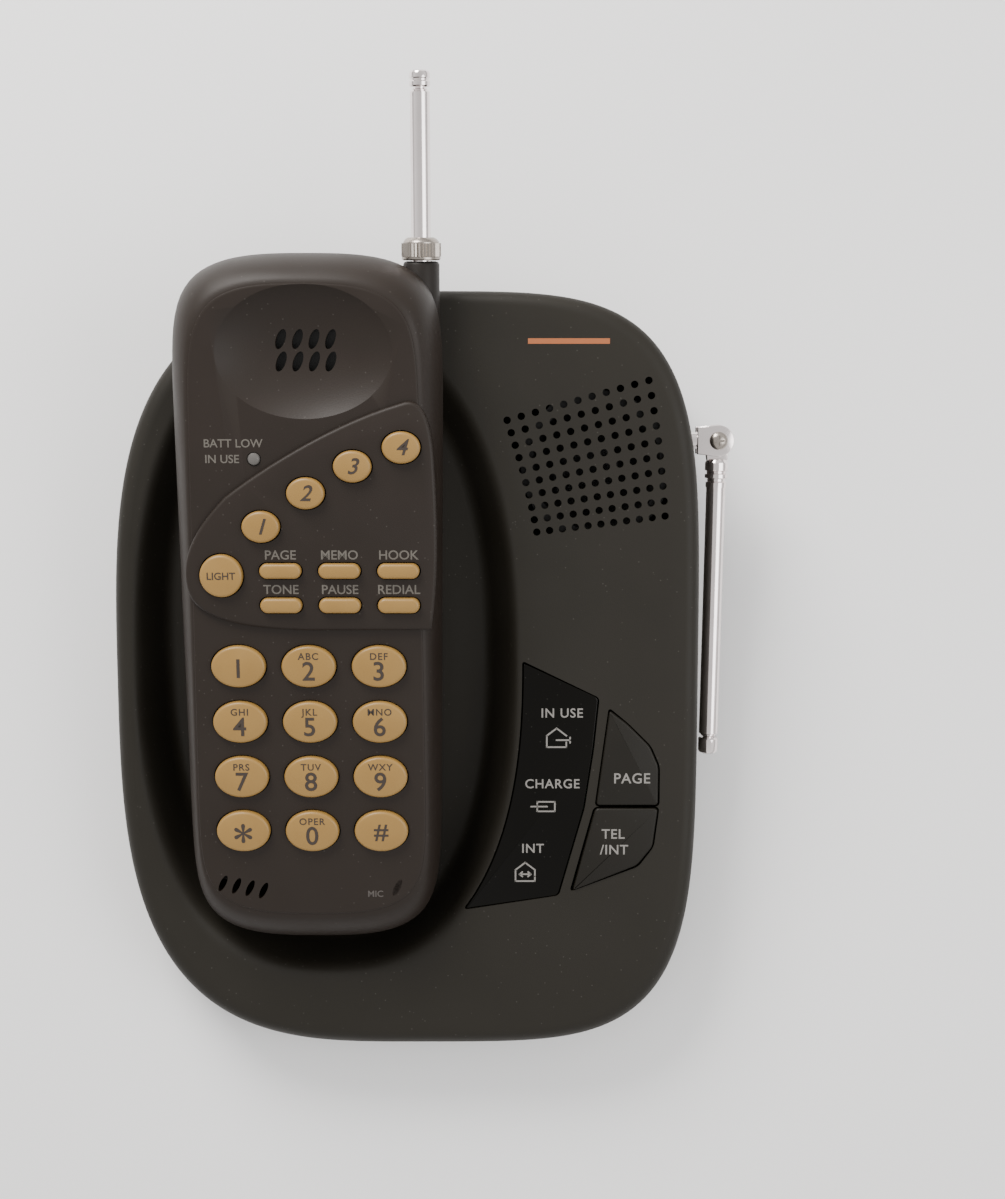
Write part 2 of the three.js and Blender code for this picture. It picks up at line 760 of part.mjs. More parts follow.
const backDepth = (y) => {
  const rise = THREE.MathUtils.smoothstep(y, half * 0.3, half * 0.62);
  return THREE.MathUtils.lerp(handset.thickness, handset.earThickness, rise);
};

// The front of the handset down to the parting line, in by inset all over.
function frontBody(inset, to) {
  const rings = [];
  const steps = 4;
  const start = 0.3; // the flank begins with a crease at the face
  for (let i = 0; i <= steps; i++) {
    const turn = THREE.MathUtils.lerp(start, Math.PI / 2, i / steps);
    const inward = (1 - Math.sin(turn)) / (1 - Math.sin(start));
    const down = ((Math.cos(start) - Math.cos(turn)) / Math.cos(start)) * handset.parting;
    const flareTaper = THREE.MathUtils.lerp(handset.taper, -handset.taper, inward);
    const depth = i === steps ? to : -down - inset * (1 - i / steps);
    rings.push(
      handsetRing(
        inset + handset.sideInset * inward,
        inset + handset.topInset * inward,
        inset + handset.bottomInset * inward,
        () => depth,
        flareTaper,
      ),
    );
  }
  return skin(rings);
}

// The back of the handset from the parting line, with its rounded edges.
function backBody(inset, from) {
  const rings = [handsetRing(inset, inset, inset, () => from)];
  const steps = 4;
  for (let i = 1; i <= steps; i++) {
    const turn = (i / steps) * (Math.PI / 2);
    const inward = handset.backInset * (1 - Math.cos(turn));
    const depth = (y) =>
      THREE.MathUtils.lerp(-handset.parting, -backDepth(y) + inset, Math.sin(turn));
    rings.push(handsetRing(inset + inward, inset + inward, inset + inward, depth));
  }
  for (const share of [0.25, 0.5, 0.75]) {
    const inward = handset.backInset + inset;
    rings.push(
      handsetRing(
        inward + share * (halfWide - inward),
        inward + share * (half - inward),
        inward + share * (half - inward),
        (y) => -backDepth(y) + inset,
      ),
    );
  }
  return skin(rings);
}

// Places on the face.
const keypad = { columns: 3, rows: 4, pitchX: 17.8, pitchY: 14.6, top: -12.7, rx: 6.9, ry: 5.4 };
const memory = {
  rx: 4.75,
  ry: 3.95,
  places: [[-11, 23.4], [0.3, 31.8], [12, 38.5], [24.1, 43.2]],
};
const light = { x: -21.2, y: 11, r: 5.4 };
const bars = { columns: 3, x: -6.4, pitchX: 14.75, rows: [12.2, 3.4], rx: 5.25, ry: 1.9 };
const dish = { x: 0.3, y: 66.5, rx: 21.9, ry: 16.5, deep: 4.5 };
const earSlots = { pitchX: 4.1, pitchY: 5.5, x: -5.6, rx: 1.15, ry: 2.6, lean: -0.35 };
const mouthSlots = { pitchX: 3.5, drop: 0.65, rx: 0.8, ry: 2.4, lean: -0.45 };
const microphonePlace = [halfWide - 11.8, -half + 17.8];
const lamp = { x: -12.5, y: 40.1, r: 1.6 };
const panelRise = 1.5;
const keyRise = 1.5;

// The raised panel under the memory and function keys.
function panelShape(inset) {
  const side = halfWide - 0.6 - inset;
  const foot = -3.2 + inset;
  const head = 54 - inset;
  const shape = new THREE.Shape();
  shape.moveTo(side - 1.6, foot + 0.1);
  shape.lineTo(0, foot);
  shape.bezierCurveTo(-14, foot + 0.4, -side + 6, foot + 1.9, -side + 3.2, 6.2);
  shape.bezierCurveTo(-side + 1.2, 12.8, -side + 3, 20.7, -20, 30.7 - inset);
  shape.bezierCurveTo(-10, 38.4 - inset, 8, 49.4 - inset, 24, head);
  shape.bezierCurveTo(side - 4, head + 2, side - 1.6, 51.2, side - 0.8, 41.2);
  shape.bezierCurveTo(side + 0.3, 23.2, side + 0.2, 9.2, side - 1.6, foot + 0.1);
  return shape;
}

function raisedPanel() {
  const bevel = 1;
  const made = new THREE.ExtrudeGeometry(panelShape(bevel), {
    depth: handset.parting - 2 + panelRise - bevel,
    bevelThickness: bevel,
    bevelSize: bevel,
    bevelSegments: 2,
    curveSegments: 8,
  });
  made.translate(0, 0, -handset.parting + 2);
  return solid(made).intersect(box(-60, 60, -half, half, -handset.parting + 2.5, panelRise));
}

const dishBowl = (grow) => {
  const radius = 12;
  const lift = radius - dish.deep;
  const share = Math.sqrt(1 - (lift / radius) ** 2);
  const bowl = new THREE.SphereGeometry(1, 36, 20);
  bowl.scale(dish.rx / share + grow, dish.ry / share + grow, radius + grow);
  bowl.translate(dish.x, dish.y, lift);
  return solid(bowl);
};

const digitPlaces = [];
for (let row = 0; row < keypad.rows; row++) {
  for (let column = 0; column < keypad.columns; column++) {
    digitPlaces.push([(column - 1) * keypad.pitchX, keypad.top - row * keypad.pitchY]);
  }
}
const digitNames = ["1", "2", "3", "4", "5", "6", "7", "8", "9", "star", "0", "hash"];
const barNames = ["page", "memo", "hook", "tone", "pause", "redial"];
const barPlaces = bars.rows.flatMap((y) =>
  Array.from({ length: bars.columns }, (_, i) => [bars.x + i * bars.pitchX, y]),
);

// Every key as [name, x, y, half width, half height, height of the surface it stands in].
const keys = [
  ...digitPlaces.map(([x, y], i) => [`key_${digitNames[i]}`, x, y, keypad.rx, keypad.ry, 0]),
  ...memory.places.map(([x, y], i) => [
    `key_memory_${i + 1}`, x, y, memory.rx, memory.ry, panelRise,
  ]),
  ["key_light", light.x, light.y, light.r, light.r, panelRise],
  ...barPlaces.map(([x, y], i) => [`key_${barNames[i]}`, x, y, bars.rx, bars.ry, panelRise]),
];
const keyClearance = 0.35;

function slotShapes() {
  const slots = [];
  for (let row = 0; row < 2; row++) {
    for (let i = 0; i < 4; i++) {
      const x = earSlots.x + i * earSlots.pitchX;
      const y = dish.y + 2.8 - row * earSlots.pitchY;
      slots.push(ellipseShape(x, y, earSlots.rx, earSlots.ry, earSlots.lean));
    }
  }
  for (let i = 0; i < 4; i++) {
    const x = -halfWide + 9.8 + i * mouthSlots.pitchX;
    const y = -half + 18.9 - i * mouthSlots.drop;
    slots.push(ellipseShape(x, y, mouthSlots.rx, mouthSlots.ry, mouthSlots.lean));
  }
  slots.push(ellipseShape(...microphonePlace, mouthSlots.rx, mouthSlots.ry, mouthSlots.lean));
  return slots;
}

// A key's outline: an oval, or a bar with round ends where it is much wider than tall.
function keyShape(x, y, rx, ry) {
  if (rx < 2 * ry) return ellipseShape(x, y, rx, ry);
  const shape = new THREE.Shape();
  shape.absarc(x + rx - ry, y, ry, -Math.PI / 2, Math.PI / 2);
  shape.absarc(x - rx + ry, y, ry, Math.PI / 2, (3 * Math.PI) / 2);
  return shape;
}

function handsetFrontCover() {
  const outer = joined([frontBody(0, -handset.parting + GAP / 2), raisedPanel()]);
  const inner = frontBody(WALL, -handset.parting - 1).subtract(dishBowl(WALL));
  const shell = outer.subtract(inner).subtract(dishBowl(0));
  const holes = keys.map(([, x, y, rx, ry]) =>
    prism(keyShape(x, y, rx + keyClearance, ry + keyClearance), -8, 6, 5),
  );
  const slots = slotShapes().map((shape) => prism(shape, -9, 4, 3));
  const lampHole = prism(ellipseShape(lamp.x, lamp.y, lamp.r + 0.2, lamp.r + 0.2), -6, 4, 4);
  return shell.subtract(joined([...holes, ...slots, lampHole]));
}
piece("handset_front_cover", handsetFrontCover(), handsetCharcoal, handsetGroup);

// The aerial rises out of the back casing's corner.
const aerial = { x: halfWide - 4.9, z: -19, boss: 4.6, collar: 5, top: half - 2.2 };
const door = { halfWide: 20, from: -18, depth: 21 };
const doorBox = (slack) =>
  box(
    -door.halfWide - slack,
    door.halfWide + slack,
    -half - 5,
    door.from + slack,
    -handset.thickness - 5,
    -door.depth + slack,
  );

function backShell() {
  const floor = -handset.parting - GAP / 2;
  const boss = alongY(disc(aerial.boss, aerial.top - 16, aerial.top)).translate([
    aerial.x,
    0,
    aerial.z,
  ]);
  const shell = backBody(0, floor).subtract(backBody(WALL, -handset.parting + 1));
  const bore = alongY(disc(2.9, aerial.top - 50, aerial.top + 5)).translate([
    aerial.x,
    0,
    aerial.z,
  ]);
  return shell.add(boss).subtract(bore);
}
const contactPlaces = [-1, 1].map((side) => [side * contact.across, contact.along]);
const contactCut = (grow, from, to) =>
  contactPlaces.map(([x, y]) =>
    box(
      x - contact.wide / 2 - grow,
      x + contact.wide / 2 + grow,
      y - contact.long / 2 - grow,
      y + contact.long / 2 + grow,
      from,
      to,
    ),
  );
const shellAtBack = backShell();
const rearCover = contactCut(0.1, -handset.thickness - 2, -handset.thickness + 0.9).reduce(
  (left, cut) => left.subtract(cut),
  shellAtBack.subtract(doorBox(0.25)),
);
piece("handset_rear_cover", rearCover, handsetCharcoal, handsetGroup);
piece("battery_door", shellAtBack.intersect(doorBox(0)), handsetCharcoal, handsetGroup);
contactCut(-0.1, -handset.thickness, -handset.thickness + 0.7).forEach((plate, i) => {
  const shaped = plate.intersect(backBody(0, -handset.parting));
  piece(`handset_contact_${i ? "right" : "left"}`, shaped, gilt, handsetGroup);
});

// ---------------------------------------------------------------- inside the handset
function batteryPack() {
  const cellRadius = 5.1;
  const count = 3;
  const low = -handset.thickness + WALL + 0.6 + cellRadius;
  const cells = Array.from({ length: count }, (_, i) => {
    const x = (i - (count - 1) / 2) * cellRadius * 1.96;
    return alongY(disc(cellRadius, -half + 14, -half + 58, 16)).translate([x, 0, low]);
  });
  return joined(cells);
}
piece("battery_pack", batteryPack(), cell, handsetGroup);

const matTop = -5.2;
function keypadMat() {
  const sheet = new THREE.Shape();
  const wide = halfWide - 7.5;
  sheet.moveTo(-wide, -half + 18);
  sheet.lineTo(wide, -half + 18);
  sheet.lineTo(wide, 46.5);
  sheet.lineTo(wide - 9, 46.5);
  sheet.lineTo(-wide, 19.5);
  const domes = keys.map(([, x, y]) =>
    turned([[0, matTop - 0.2], [1.7, matTop - 0.2], [1.3, matTop + 0.5], [0, matTop + 0.5]], 8)
      .translate([x, y, 0]),
  );
  return joined([prism(sheet, matTop - 1, matTop), ...domes]);
}
piece("keypad_mat", keypadMat(), amber, handsetGroup);

function handsetCircuitBoard() {
  const top = matTop - 1 - GAP;
  const wide = halfWide - 6.5;
  return joined([
    box(-wide, wide, -half + 19, 46, top - 1.4, top),
    box(-wide + 6, wide - 14, -8, 14, top - 6.5, top - 1.2),
    box(-wide + 8, 4, 22, 38, top - 5, top - 1.2),
  ]);
}
piece("handset_circuit_board", handsetCircuitBoard(), board, handsetGroup);

const earCapsule = turned([[0, -13.5], [9, -13.5], [14, -12], [14, -7.6], [0, -7.6]]);
piece("ear_speaker", earCapsule.translate([dish.x, dish.y, 0]), grey, handsetGroup);
const capsule = (radius, top, deep) => disc(radius, top - deep, top, 16);
const capsuleTop = -WALL - 0.6;
piece(
  "microphone",
  capsule(2.6, capsuleTop, 2.4).translate([microphonePlace[0] - 1.5, microphonePlace[1] + 1.5, 0]),
  grey,
  handsetGroup,
);
const lampLens = turned([[0, -4.5], [lamp.r, -4.5], [lamp.r, -0.1], [lamp.r - 0.5, 0.25], [0, 0.4]], 16);
piece("handset_lamp", lampLens.translate([lamp.x, lamp.y, 0]), grey, handsetGroup);

// ---------------------------------------------------------------- handset aerial
const rod = { rest: 35.6, hidden: 16, bore: 2.75 };
const handsetSections = [[2.5, 2.1], [1.95, 1.5], [1.35, 0]];
const collarFoot = aerial.top + GAP;
const collarTop = collarFoot + 5.6;
const rodTop = collarTop + rod.rest;
const onAerial = (made) => alongY(made).translate([aerial.x, 0, aerial.z]);
const collar = turned(
  [
    [rod.bore, collarFoot],
    [aerial.collar, collarFoot],
    [aerial.collar, collarTop - 1.2],
    [aerial.collar - 1, collarTop],
    [rod.bore, collarTop],
    [rod.bore, collarFoot],
  ],
  24,
);
piece("aerial_collar", onAerial(collar), steel, handsetGroup);
const rodFoot = collarTop - rod.hidden;
const outerRod = pipe(handsetSections[0][0], handsetSections[0][1], rodFoot, rodTop);
piece("handset_aerial_outer", onAerial(outerRod), chrome, handsetGroup);
const middleRod = pipe(handsetSections[1][0], handsetSections[1][1], rodFoot + 1, rodTop + 0.5);
piece("handset_aerial_middle", onAerial(middleRod), chrome, handsetGroup);
const tip = turned([
  [0, rodFoot + 2],
  [handsetSections[2][0], rodFoot + 2],
  [handsetSections[2][0], rodTop + 0.9],
  [2.6, rodTop + 0.9],
  [2.6, rodTop + 4.4],
  [2, rodTop + 5],
  [0, rodTop + 5],
]);
piece("handset_aerial_inner", onAerial(tip), chrome, handsetGroup);

// ---------------------------------------------------------------- handset keys
const keyFoot = -WALL - 1;
for (const [name, x, y, rx, ry, surface] of keys) {
  const top = surface + keyRise;
  const isBar = rx >= 2 * ry;
  const made = isBar
    ? prism(keyShape(x, y, rx, ry), keyFoot, top, 6)
    : roundKey(rx, ry, top).translate([x, y, 0]);
  piece(name, made, amber, handsetGroup);
}
function roundKey(rx, ry, top) {
  const edge = 0.7 / rx;
  const profile = [[0, keyFoot], [1, keyFoot], [1, top - 0.7], [1 - edge, top], [0, top + 0.25]];
  return turned(profile, 20).scale([rx, ry, 1]);
}

// ---------------------------------------------------------------- the frame
// The origin is on the table, under the middle of the whole telephone.
const whole = new THREE.Group();
whole.add(root);
const extent = new THREE.Box3().setFromObject(root);
const middle = extent.getCenter(new THREE.Vector3());
root.position.set(-middle.x, -middle.y, -extent.min.z);

export default whole;
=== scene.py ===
import math

import bmesh
import bpy
from mathutils import Matrix, Vector, geometry


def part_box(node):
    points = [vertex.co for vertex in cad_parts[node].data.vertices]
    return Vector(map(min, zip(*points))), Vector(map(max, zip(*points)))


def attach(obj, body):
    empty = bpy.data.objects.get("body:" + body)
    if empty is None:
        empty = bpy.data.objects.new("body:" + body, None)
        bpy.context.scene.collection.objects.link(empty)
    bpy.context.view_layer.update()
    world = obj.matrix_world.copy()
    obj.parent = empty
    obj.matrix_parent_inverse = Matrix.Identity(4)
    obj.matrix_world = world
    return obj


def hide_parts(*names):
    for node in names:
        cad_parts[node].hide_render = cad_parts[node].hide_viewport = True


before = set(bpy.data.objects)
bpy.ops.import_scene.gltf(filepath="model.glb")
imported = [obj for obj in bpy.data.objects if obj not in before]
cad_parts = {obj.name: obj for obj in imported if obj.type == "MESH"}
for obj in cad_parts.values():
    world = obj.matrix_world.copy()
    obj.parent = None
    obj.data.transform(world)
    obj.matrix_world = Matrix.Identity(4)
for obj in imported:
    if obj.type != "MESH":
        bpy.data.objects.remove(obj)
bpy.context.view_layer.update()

# ---- The viewer -------------------------------------------------------------------------------
# A camera held level above the telephone, half a metre up and a little towards its right-hand
# side, looking straight down at it.
base_low, base_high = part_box("base_bottom_cover")
middle_x = (base_low.x + base_high.x) / 2
middle_y = (base_low.y + base_high.y) / 2
camera = bpy.data.objects.new("camera", bpy.data.cameras.new("camera"))
camera.data.lens = 54.05
camera.data.sensor_width = 36.0
camera.data.clip_start = 0.01
camera.location = (middle_x + 0.0253, middle_y + 0.0205, 0.510)
bpy.context.scene.collection.objects.link(camera)
bpy.context.scene.camera = camera

# ---- The table and the light ------------------------------------------------------------------
# A plain white table top, a broad soft light high on the left and towards the back, a weaker one
# on the right, and a pale room that is darker towards its walls.
def surface_material(name, colour, roughness, metallic=0.0):
    """A material with its Principled BSDF, and the handles that a finish needs."""
    material = bpy.data.materials.new(name)
    material.use_nodes = True
    shader = material.node_tree.nodes["Principled BSDF"]
    shader.inputs["Base Color"].default_value = (*colour, 1.0)
    shader.inputs["Roughness"].default_value = roughness
    shader.inputs["Metallic"].default_value = metallic
    return material, material.node_tree, shader


def table_top():
    mesh = bpy.data.meshes.new("table_top")
    bm = bmesh.new()
    bmesh.ops.create_grid(bm, x_segments=4, y_segments=4, size=3.0)
    bm.to_mesh(mesh)
    bm.free()
    table = bpy.data.objects.new("table_top", mesh)
    bpy.context.scene.collection.objects.link(table)
    mesh.materials.append(surface_material("white table", (0.93, 0.93, 0.93), 0.6)[0])


def soft_light(name, place, size, power, tint=(1.0, 1.0, 1.0)):
    lamp = bpy.data.lights.new(name, "AREA")
    lamp.shape = "DISK"
    lamp.size = size
    lamp.energy = power
    lamp.color = tint
    light = bpy.data.objects.new(name, lamp)
    light.location = place
    light.rotation_euler = (-Vector(place)).to_track_quat("-Z", "Y").to_euler()
    bpy.context.scene.collection.objects.link(light)


def pale_room():
    world = bpy.data.worlds.new("pale room")
    world.use_nodes = True
    nodes, links = world.node_tree.nodes, world.node_tree.links
    coordinates = nodes.new("ShaderNodeTexCoord")
    split = nodes.new("ShaderNodeSeparateXYZ")
    ramp = nodes.new("ShaderNodeValToRGB")
    ramp.color_ramp.elements[0].position = 0.0
    ramp.color_ramp.elements[0].color = (0.55, 0.54, 0.53, 1.0)
    ramp.color_ramp.elements[1].position = 1.0
    ramp.color_ramp.elements[1].color = (0.80, 0.79, 0.78, 1.0)
    bright = ramp.color_ramp.elements.new(0.45)
    bright.color = (1.15, 1.13, 1.12, 1.0)
    links.new(coordinates.outputs["Generated"], split.inputs[0])
    links.new(split.outputs["Z"], ramp.inputs["Fac"])
    links.new(ramp.outputs["Color"], nodes["Background"].inputs["Color"])
    nodes["Background"].inputs["Strength"].default_value = 1.02
    bpy.context.scene.world = world


table_top()
soft_light("left softbox", (-0.36, 0.72, 0.55), 0.5, 13.5, (1.0, 0.975, 0.95))
soft_light("right softbox", (0.7, -0.1, 0.8), 0.7, 4.5)
pale_room()

# ---- Base top casing --------------------------------------------------------------------------
# One charcoal ABS moulding with a fine spark texture: a wedge with rounded edges, the oval cradle
# sunk into its left side, and the loudspeaker grille, window and key openings beside the cradle.
MM = 0.001
BASE_WIDE = (base_high.x - base_low.x) / MM
BASE_LONG = (base_high.y - base_low.y) / MM
FRONT_HEIGHT, REAR_HEIGHT = 20.0, 46.0
DECK_MIDDLE = (FRONT_HEIGHT + REAR_HEIGHT) / 2
SLOPE = math.atan((REAR_HEIGHT - FRONT_HEIGHT) / BASE_LONG)
TILT = math.radians(12)
SHRINK = Matrix.Diagonal((MM, MM, MM, 1))
BASE = Matrix.Translation((middle_x, middle_y, 0)) @ SHRINK
DECK = Matrix.Translation((middle_x, middle_y, DECK_MIDDLE * MM)) @ Matrix.Rotation(SLOPE, 4, "X") @ SHRINK
SEAT = Vector((-23.8, 16.05, 55.856))
HANDSET = (
    Matrix.Translation(Vector((middle_x, middle_y, 0)) + SEAT * MM) @ Matrix.Rotation(TILT, 4, "X") @ SHRINK
)
CRADLE = Vector((-21.5, -BASE_LONG / 2 + 22 + 83))
RIM = {"wide": 50.0, "low": 83.0, "high": 87.37, "power": 2.4}
WALL_RUN = 6.5
CASING = 2.0


def deck_height(y):
    return DECK_MIDDLE + y * math.tan(SLOPE)


def floor_height(y):
    under = SEAT.z - 30 * math.cos(TILT) - 1.25
    return max(6.0, under + (y - SEAT.y - 30 * math.sin(TILT)) * math.tan(TILT))


def reach(inside, eye, turn):
    """How far the edge of a shape is from a point in it, in one direction."""
    step = Vector((math.cos(turn), math.sin(turn)))
    near, far = 0.0, 260.0
    for _ in range(40):
        mid = (near + far) / 2
        if inside(eye + step * mid):
            near = mid
        else:
            far = mid
    return eye + step * near


def within_base(inset):
    wide, long = BASE_WIDE / 2 - inset, BASE_LONG / 2 - inset

    def inside(p):
        power = 3.2 if p.x < 0 else 4.4
        return abs(p.x / wide) ** power + abs(p.y / long) ** power < 1

    return inside


def within_rim(inset):
    def inside(p):
        q = p - CRADLE
        long = (RIM["low"] if q.y < 0 else RIM["high"]) - inset
        return abs(q.x / (RIM["wide"] - inset)) ** RIM["power"] + abs(q.y / long) ** RIM["power"] < 1

    return inside


def loft(around, eye, rings, close_top=True, close_bottom=False, ends=None):
    """A skin made by extruding one ring of corners again and again. Each ring is (edge test, height)."""
    bm = bmesh.new()
    turn_of = bm.verts.layers.float.new("turn")
    made = bmesh.ops.create_circle(bm, segments=around, radius=1.0, cap_ends=False)
    for i, vert in enumerate(made["verts"]):
        vert[turn_of] = math.atan2(vert.co.y, vert.co.x)
    current = list(made["verts"])
    first = list(bm.edges)

    def settle(verts, ring):
        inside, height = ring[0], ring[1]
        for vert in verts:
            flat = reach(inside, eye, vert[turn_of]) if callable(inside) else None
            if flat is None:
                flat = eye + (reach(inside[0], eye, vert[turn_of]) - eye) * inside[1]
            if ends:
                flat = ends(flat, ring)
            vert.co = (flat.x, flat.y, height(flat.x, flat.y))

    settle(current, rings[0])
    edges = first
    for ring in rings[1:]:
        grown = bmesh.ops.extrude_edge_only(bm, edges=edges)["geom"]
        current = [part for part in grown if isinstance(part, bmesh.types.BMVert)]
        edges = [part for part in grown if isinstance(part, bmesh.types.BMEdge)]
        settle(current, ring)
    if close_top:
        bmesh.ops.contextual_create(bm, geom=edges)
    if close_bottom:
        bmesh.ops.contextual_create(bm, geom=first)
    return bm


def turned(profile, sides=48):
    """A solid of revolution about +Z from (radius, height) pairs."""
    bm = bmesh.new()
    verts = [bm.verts.new((r, 0, h)) for r, h in profile]
    edges = [bm.edges.new(pair) for pair in zip(verts, verts[1:])]
    bmesh.ops.spin(
        bm, geom=verts + edges, cent=(0, 0, 0), axis=(0, 0, 1), angle=2 * math.pi, steps=sides, use_merge=True
    )
    bmesh.ops.remove_doubles(bm, verts=bm.verts, dist=1e-4)
    return bm


def mesh_of(bm, name, matrix):
    """The finished mesh, placed, with its faces outwards."""
    bmesh.ops.recalc_face_normals(bm, faces=bm.faces)
    bm.transform(matrix)
    mesh = bpy.data.meshes.new(name)
    bm.to_mesh(mesh)
    bm.free()
    return mesh


def soften(mesh, sharp=32):
    """Smooth shading, except across edges that turn more sharply than this."""
    bm = bmesh.new()
    bm.from_mesh(mesh)
    bmesh.ops.remove_doubles(bm, verts=bm.verts, dist=2e-7)
    for face in bm.faces:
        face.smooth = True
    for edge in bm.edges:
        edge.smooth = len(edge.link_faces) != 2 or edge.calc_face_angle(0) < math.radians(sharp)
    bm.to_mesh(mesh)
    bm.free()


def piece(mesh, name, body, material, replaces=(), sharp=32):
    """A finished piece that rides with its body."""
    soften(mesh, sharp)
    made = bpy.data.objects.new(name, mesh)
    bpy.context.scene.collection.objects.link(made)
    mesh.materials.clear()
    mesh.materials.append(material)
    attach(made, body)
    if replaces:
        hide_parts(*replaces)
    return made


def worked(mesh, cutters=(), thickness=0.0, kept=()):
    """The mesh with a wall thickness, then with cutters taken out of it, or with only the kept part left."""
    blank = bpy.data.objects.new("blank", mesh)
    bpy.context.scene.collection.objects.link(blank)
    tools = []
    if thickness:
        wall = blank.modifiers.new("wall", "SOLIDIFY")
        wall.thickness = thickness
        wall.offset = -1
        wall.use_even_offset = False
    for operation, shapes in (("DIFFERENCE", cutters), ("INTERSECT", kept)):
        for shape in shapes:
            tool = bpy.data.objects.new("tool", shape)
            bpy.context.scene.collection.objects.link(tool)
            tools.append(tool)
            cut = blank.modifiers.new("cut", "BOOLEAN")
            cut.object = tool
            cut.operation = operation
            cut.solver = "EXACT"
    bpy.context.view_layer.update()
    result = bpy.data.meshes.new_from_object(blank.evaluated_get(bpy.context.evaluated_depsgraph_get()))
    for extra in [blank, *tools]:
        old = extra.data
        bpy.data.objects.remove(extra)
        bpy.data.meshes.remove(old)
    return result


def plate(points, low, high, rounding=0.8, lip=0.0, curve_steps=6):
    """A flat piece over a corner-rounded outline, with its upper edge eased."""
    bm = bmesh.new()
    face = bm.faces.new([bm.verts.new((x, y, low)) for x, y in points])
    if face.calc_center_median().z < low:
        face.normal_flip()
    if rounding:
        bmesh.ops.bevel(
            bm, geom=bm.verts[:], offset=rounding, offset_type="OFFSET", segments=curve_steps,
            profile=0.5, affect="VERTICES", material=-1,
        )
    grown = bmesh.ops.extrude_face_region(bm, geom=bm.faces[:], use_keep_orig=True)["geom"]
    top = [part for part in grown if isinstance(part, bmesh.types.BMVert)]
    bmesh.ops.translate(bm, verts=top, vec=(0, 0, high - low))
    bmesh.ops.recalc_face_normals(bm, faces=bm.faces)
    if lip:
        upper = [e for e in bm.edges if all(abs(v.co.z - high) < 1e-5 for v in e.verts)]
        bmesh.ops.bevel(
            bm, geom=upper, offset=lip, offset_type="OFFSET", segments=3, profile=0.5,
            affect="EDGES", material=-1,
        )
    return bm


def joined(parts):
    """Several bmeshes as one."""
    whole = bmesh.new()
    for part in parts:
        mesh = bpy.data.meshes.new("part")
        part.to_mesh(mesh)
        part.free()
        whole.from_mesh(mesh)
        bpy.data.meshes.remove(mesh)
    return whole


def grain_group():
    """Moulded-in texture: fine grain for the surface height, and slow cloudiness for colour and gloss."""
    group = bpy.data.node_groups.new("moulded grain", "ShaderNodeTree")
    for name, default in (("Grain Scale", 2600.0), ("Cloud Scale", 40.0)):
        socket = group.interface.new_socket(name, in_out="INPUT", socket_type="NodeSocketFloat")
        socket.default_value = default
    for name in ("Height", "Cloud", "Speck"):
        group.interface.new_socket(name, in_out="OUTPUT", socket_type="NodeSocketFloat")
    nodes, links = group.nodes, group.links
    taken = nodes.new("NodeGroupInput")
    given = nodes.new("NodeGroupOutput")
    where = nodes.new("ShaderNodeTexCoord")
    grain = nodes.new("ShaderNodeTexNoise")
    grain.inputs["Detail"].default_value = 2.0
    grain.inputs["Roughness"].default_value = 0.6
    cloud = nodes.new("ShaderNodeTexNoise")
    cloud.inputs["Detail"].default_value = 4.0
    dust = nodes.new("ShaderNodeTexVoronoi")
    dust.inputs["Scale"].default_value = 420.0
    speck = nodes.new("ShaderNodeMapRange")
    speck.inputs["From Min"].default_value = 0.10
    speck.inputs["From Max"].default_value = 0.04
    for texture in (grain, cloud, dust):
        links.new(where.outputs["Object"], texture.inputs["Vector"])
    links.new(taken.outputs["Grain Scale"], grain.inputs["Scale"])
    links.new(taken.outputs["Cloud Scale"], cloud.inputs["Scale"])
    links.new(dust.outputs["Distance"], speck.inputs["Value"])
    links.new(grain.outputs["Fac"], given.inputs["Height"])
    links.new(cloud.outputs["Fac"], given.inputs["Cloud"])
    links.new(speck.outputs["Result"], given.inputs["Speck"])
    return group


GRAIN = grain_group()


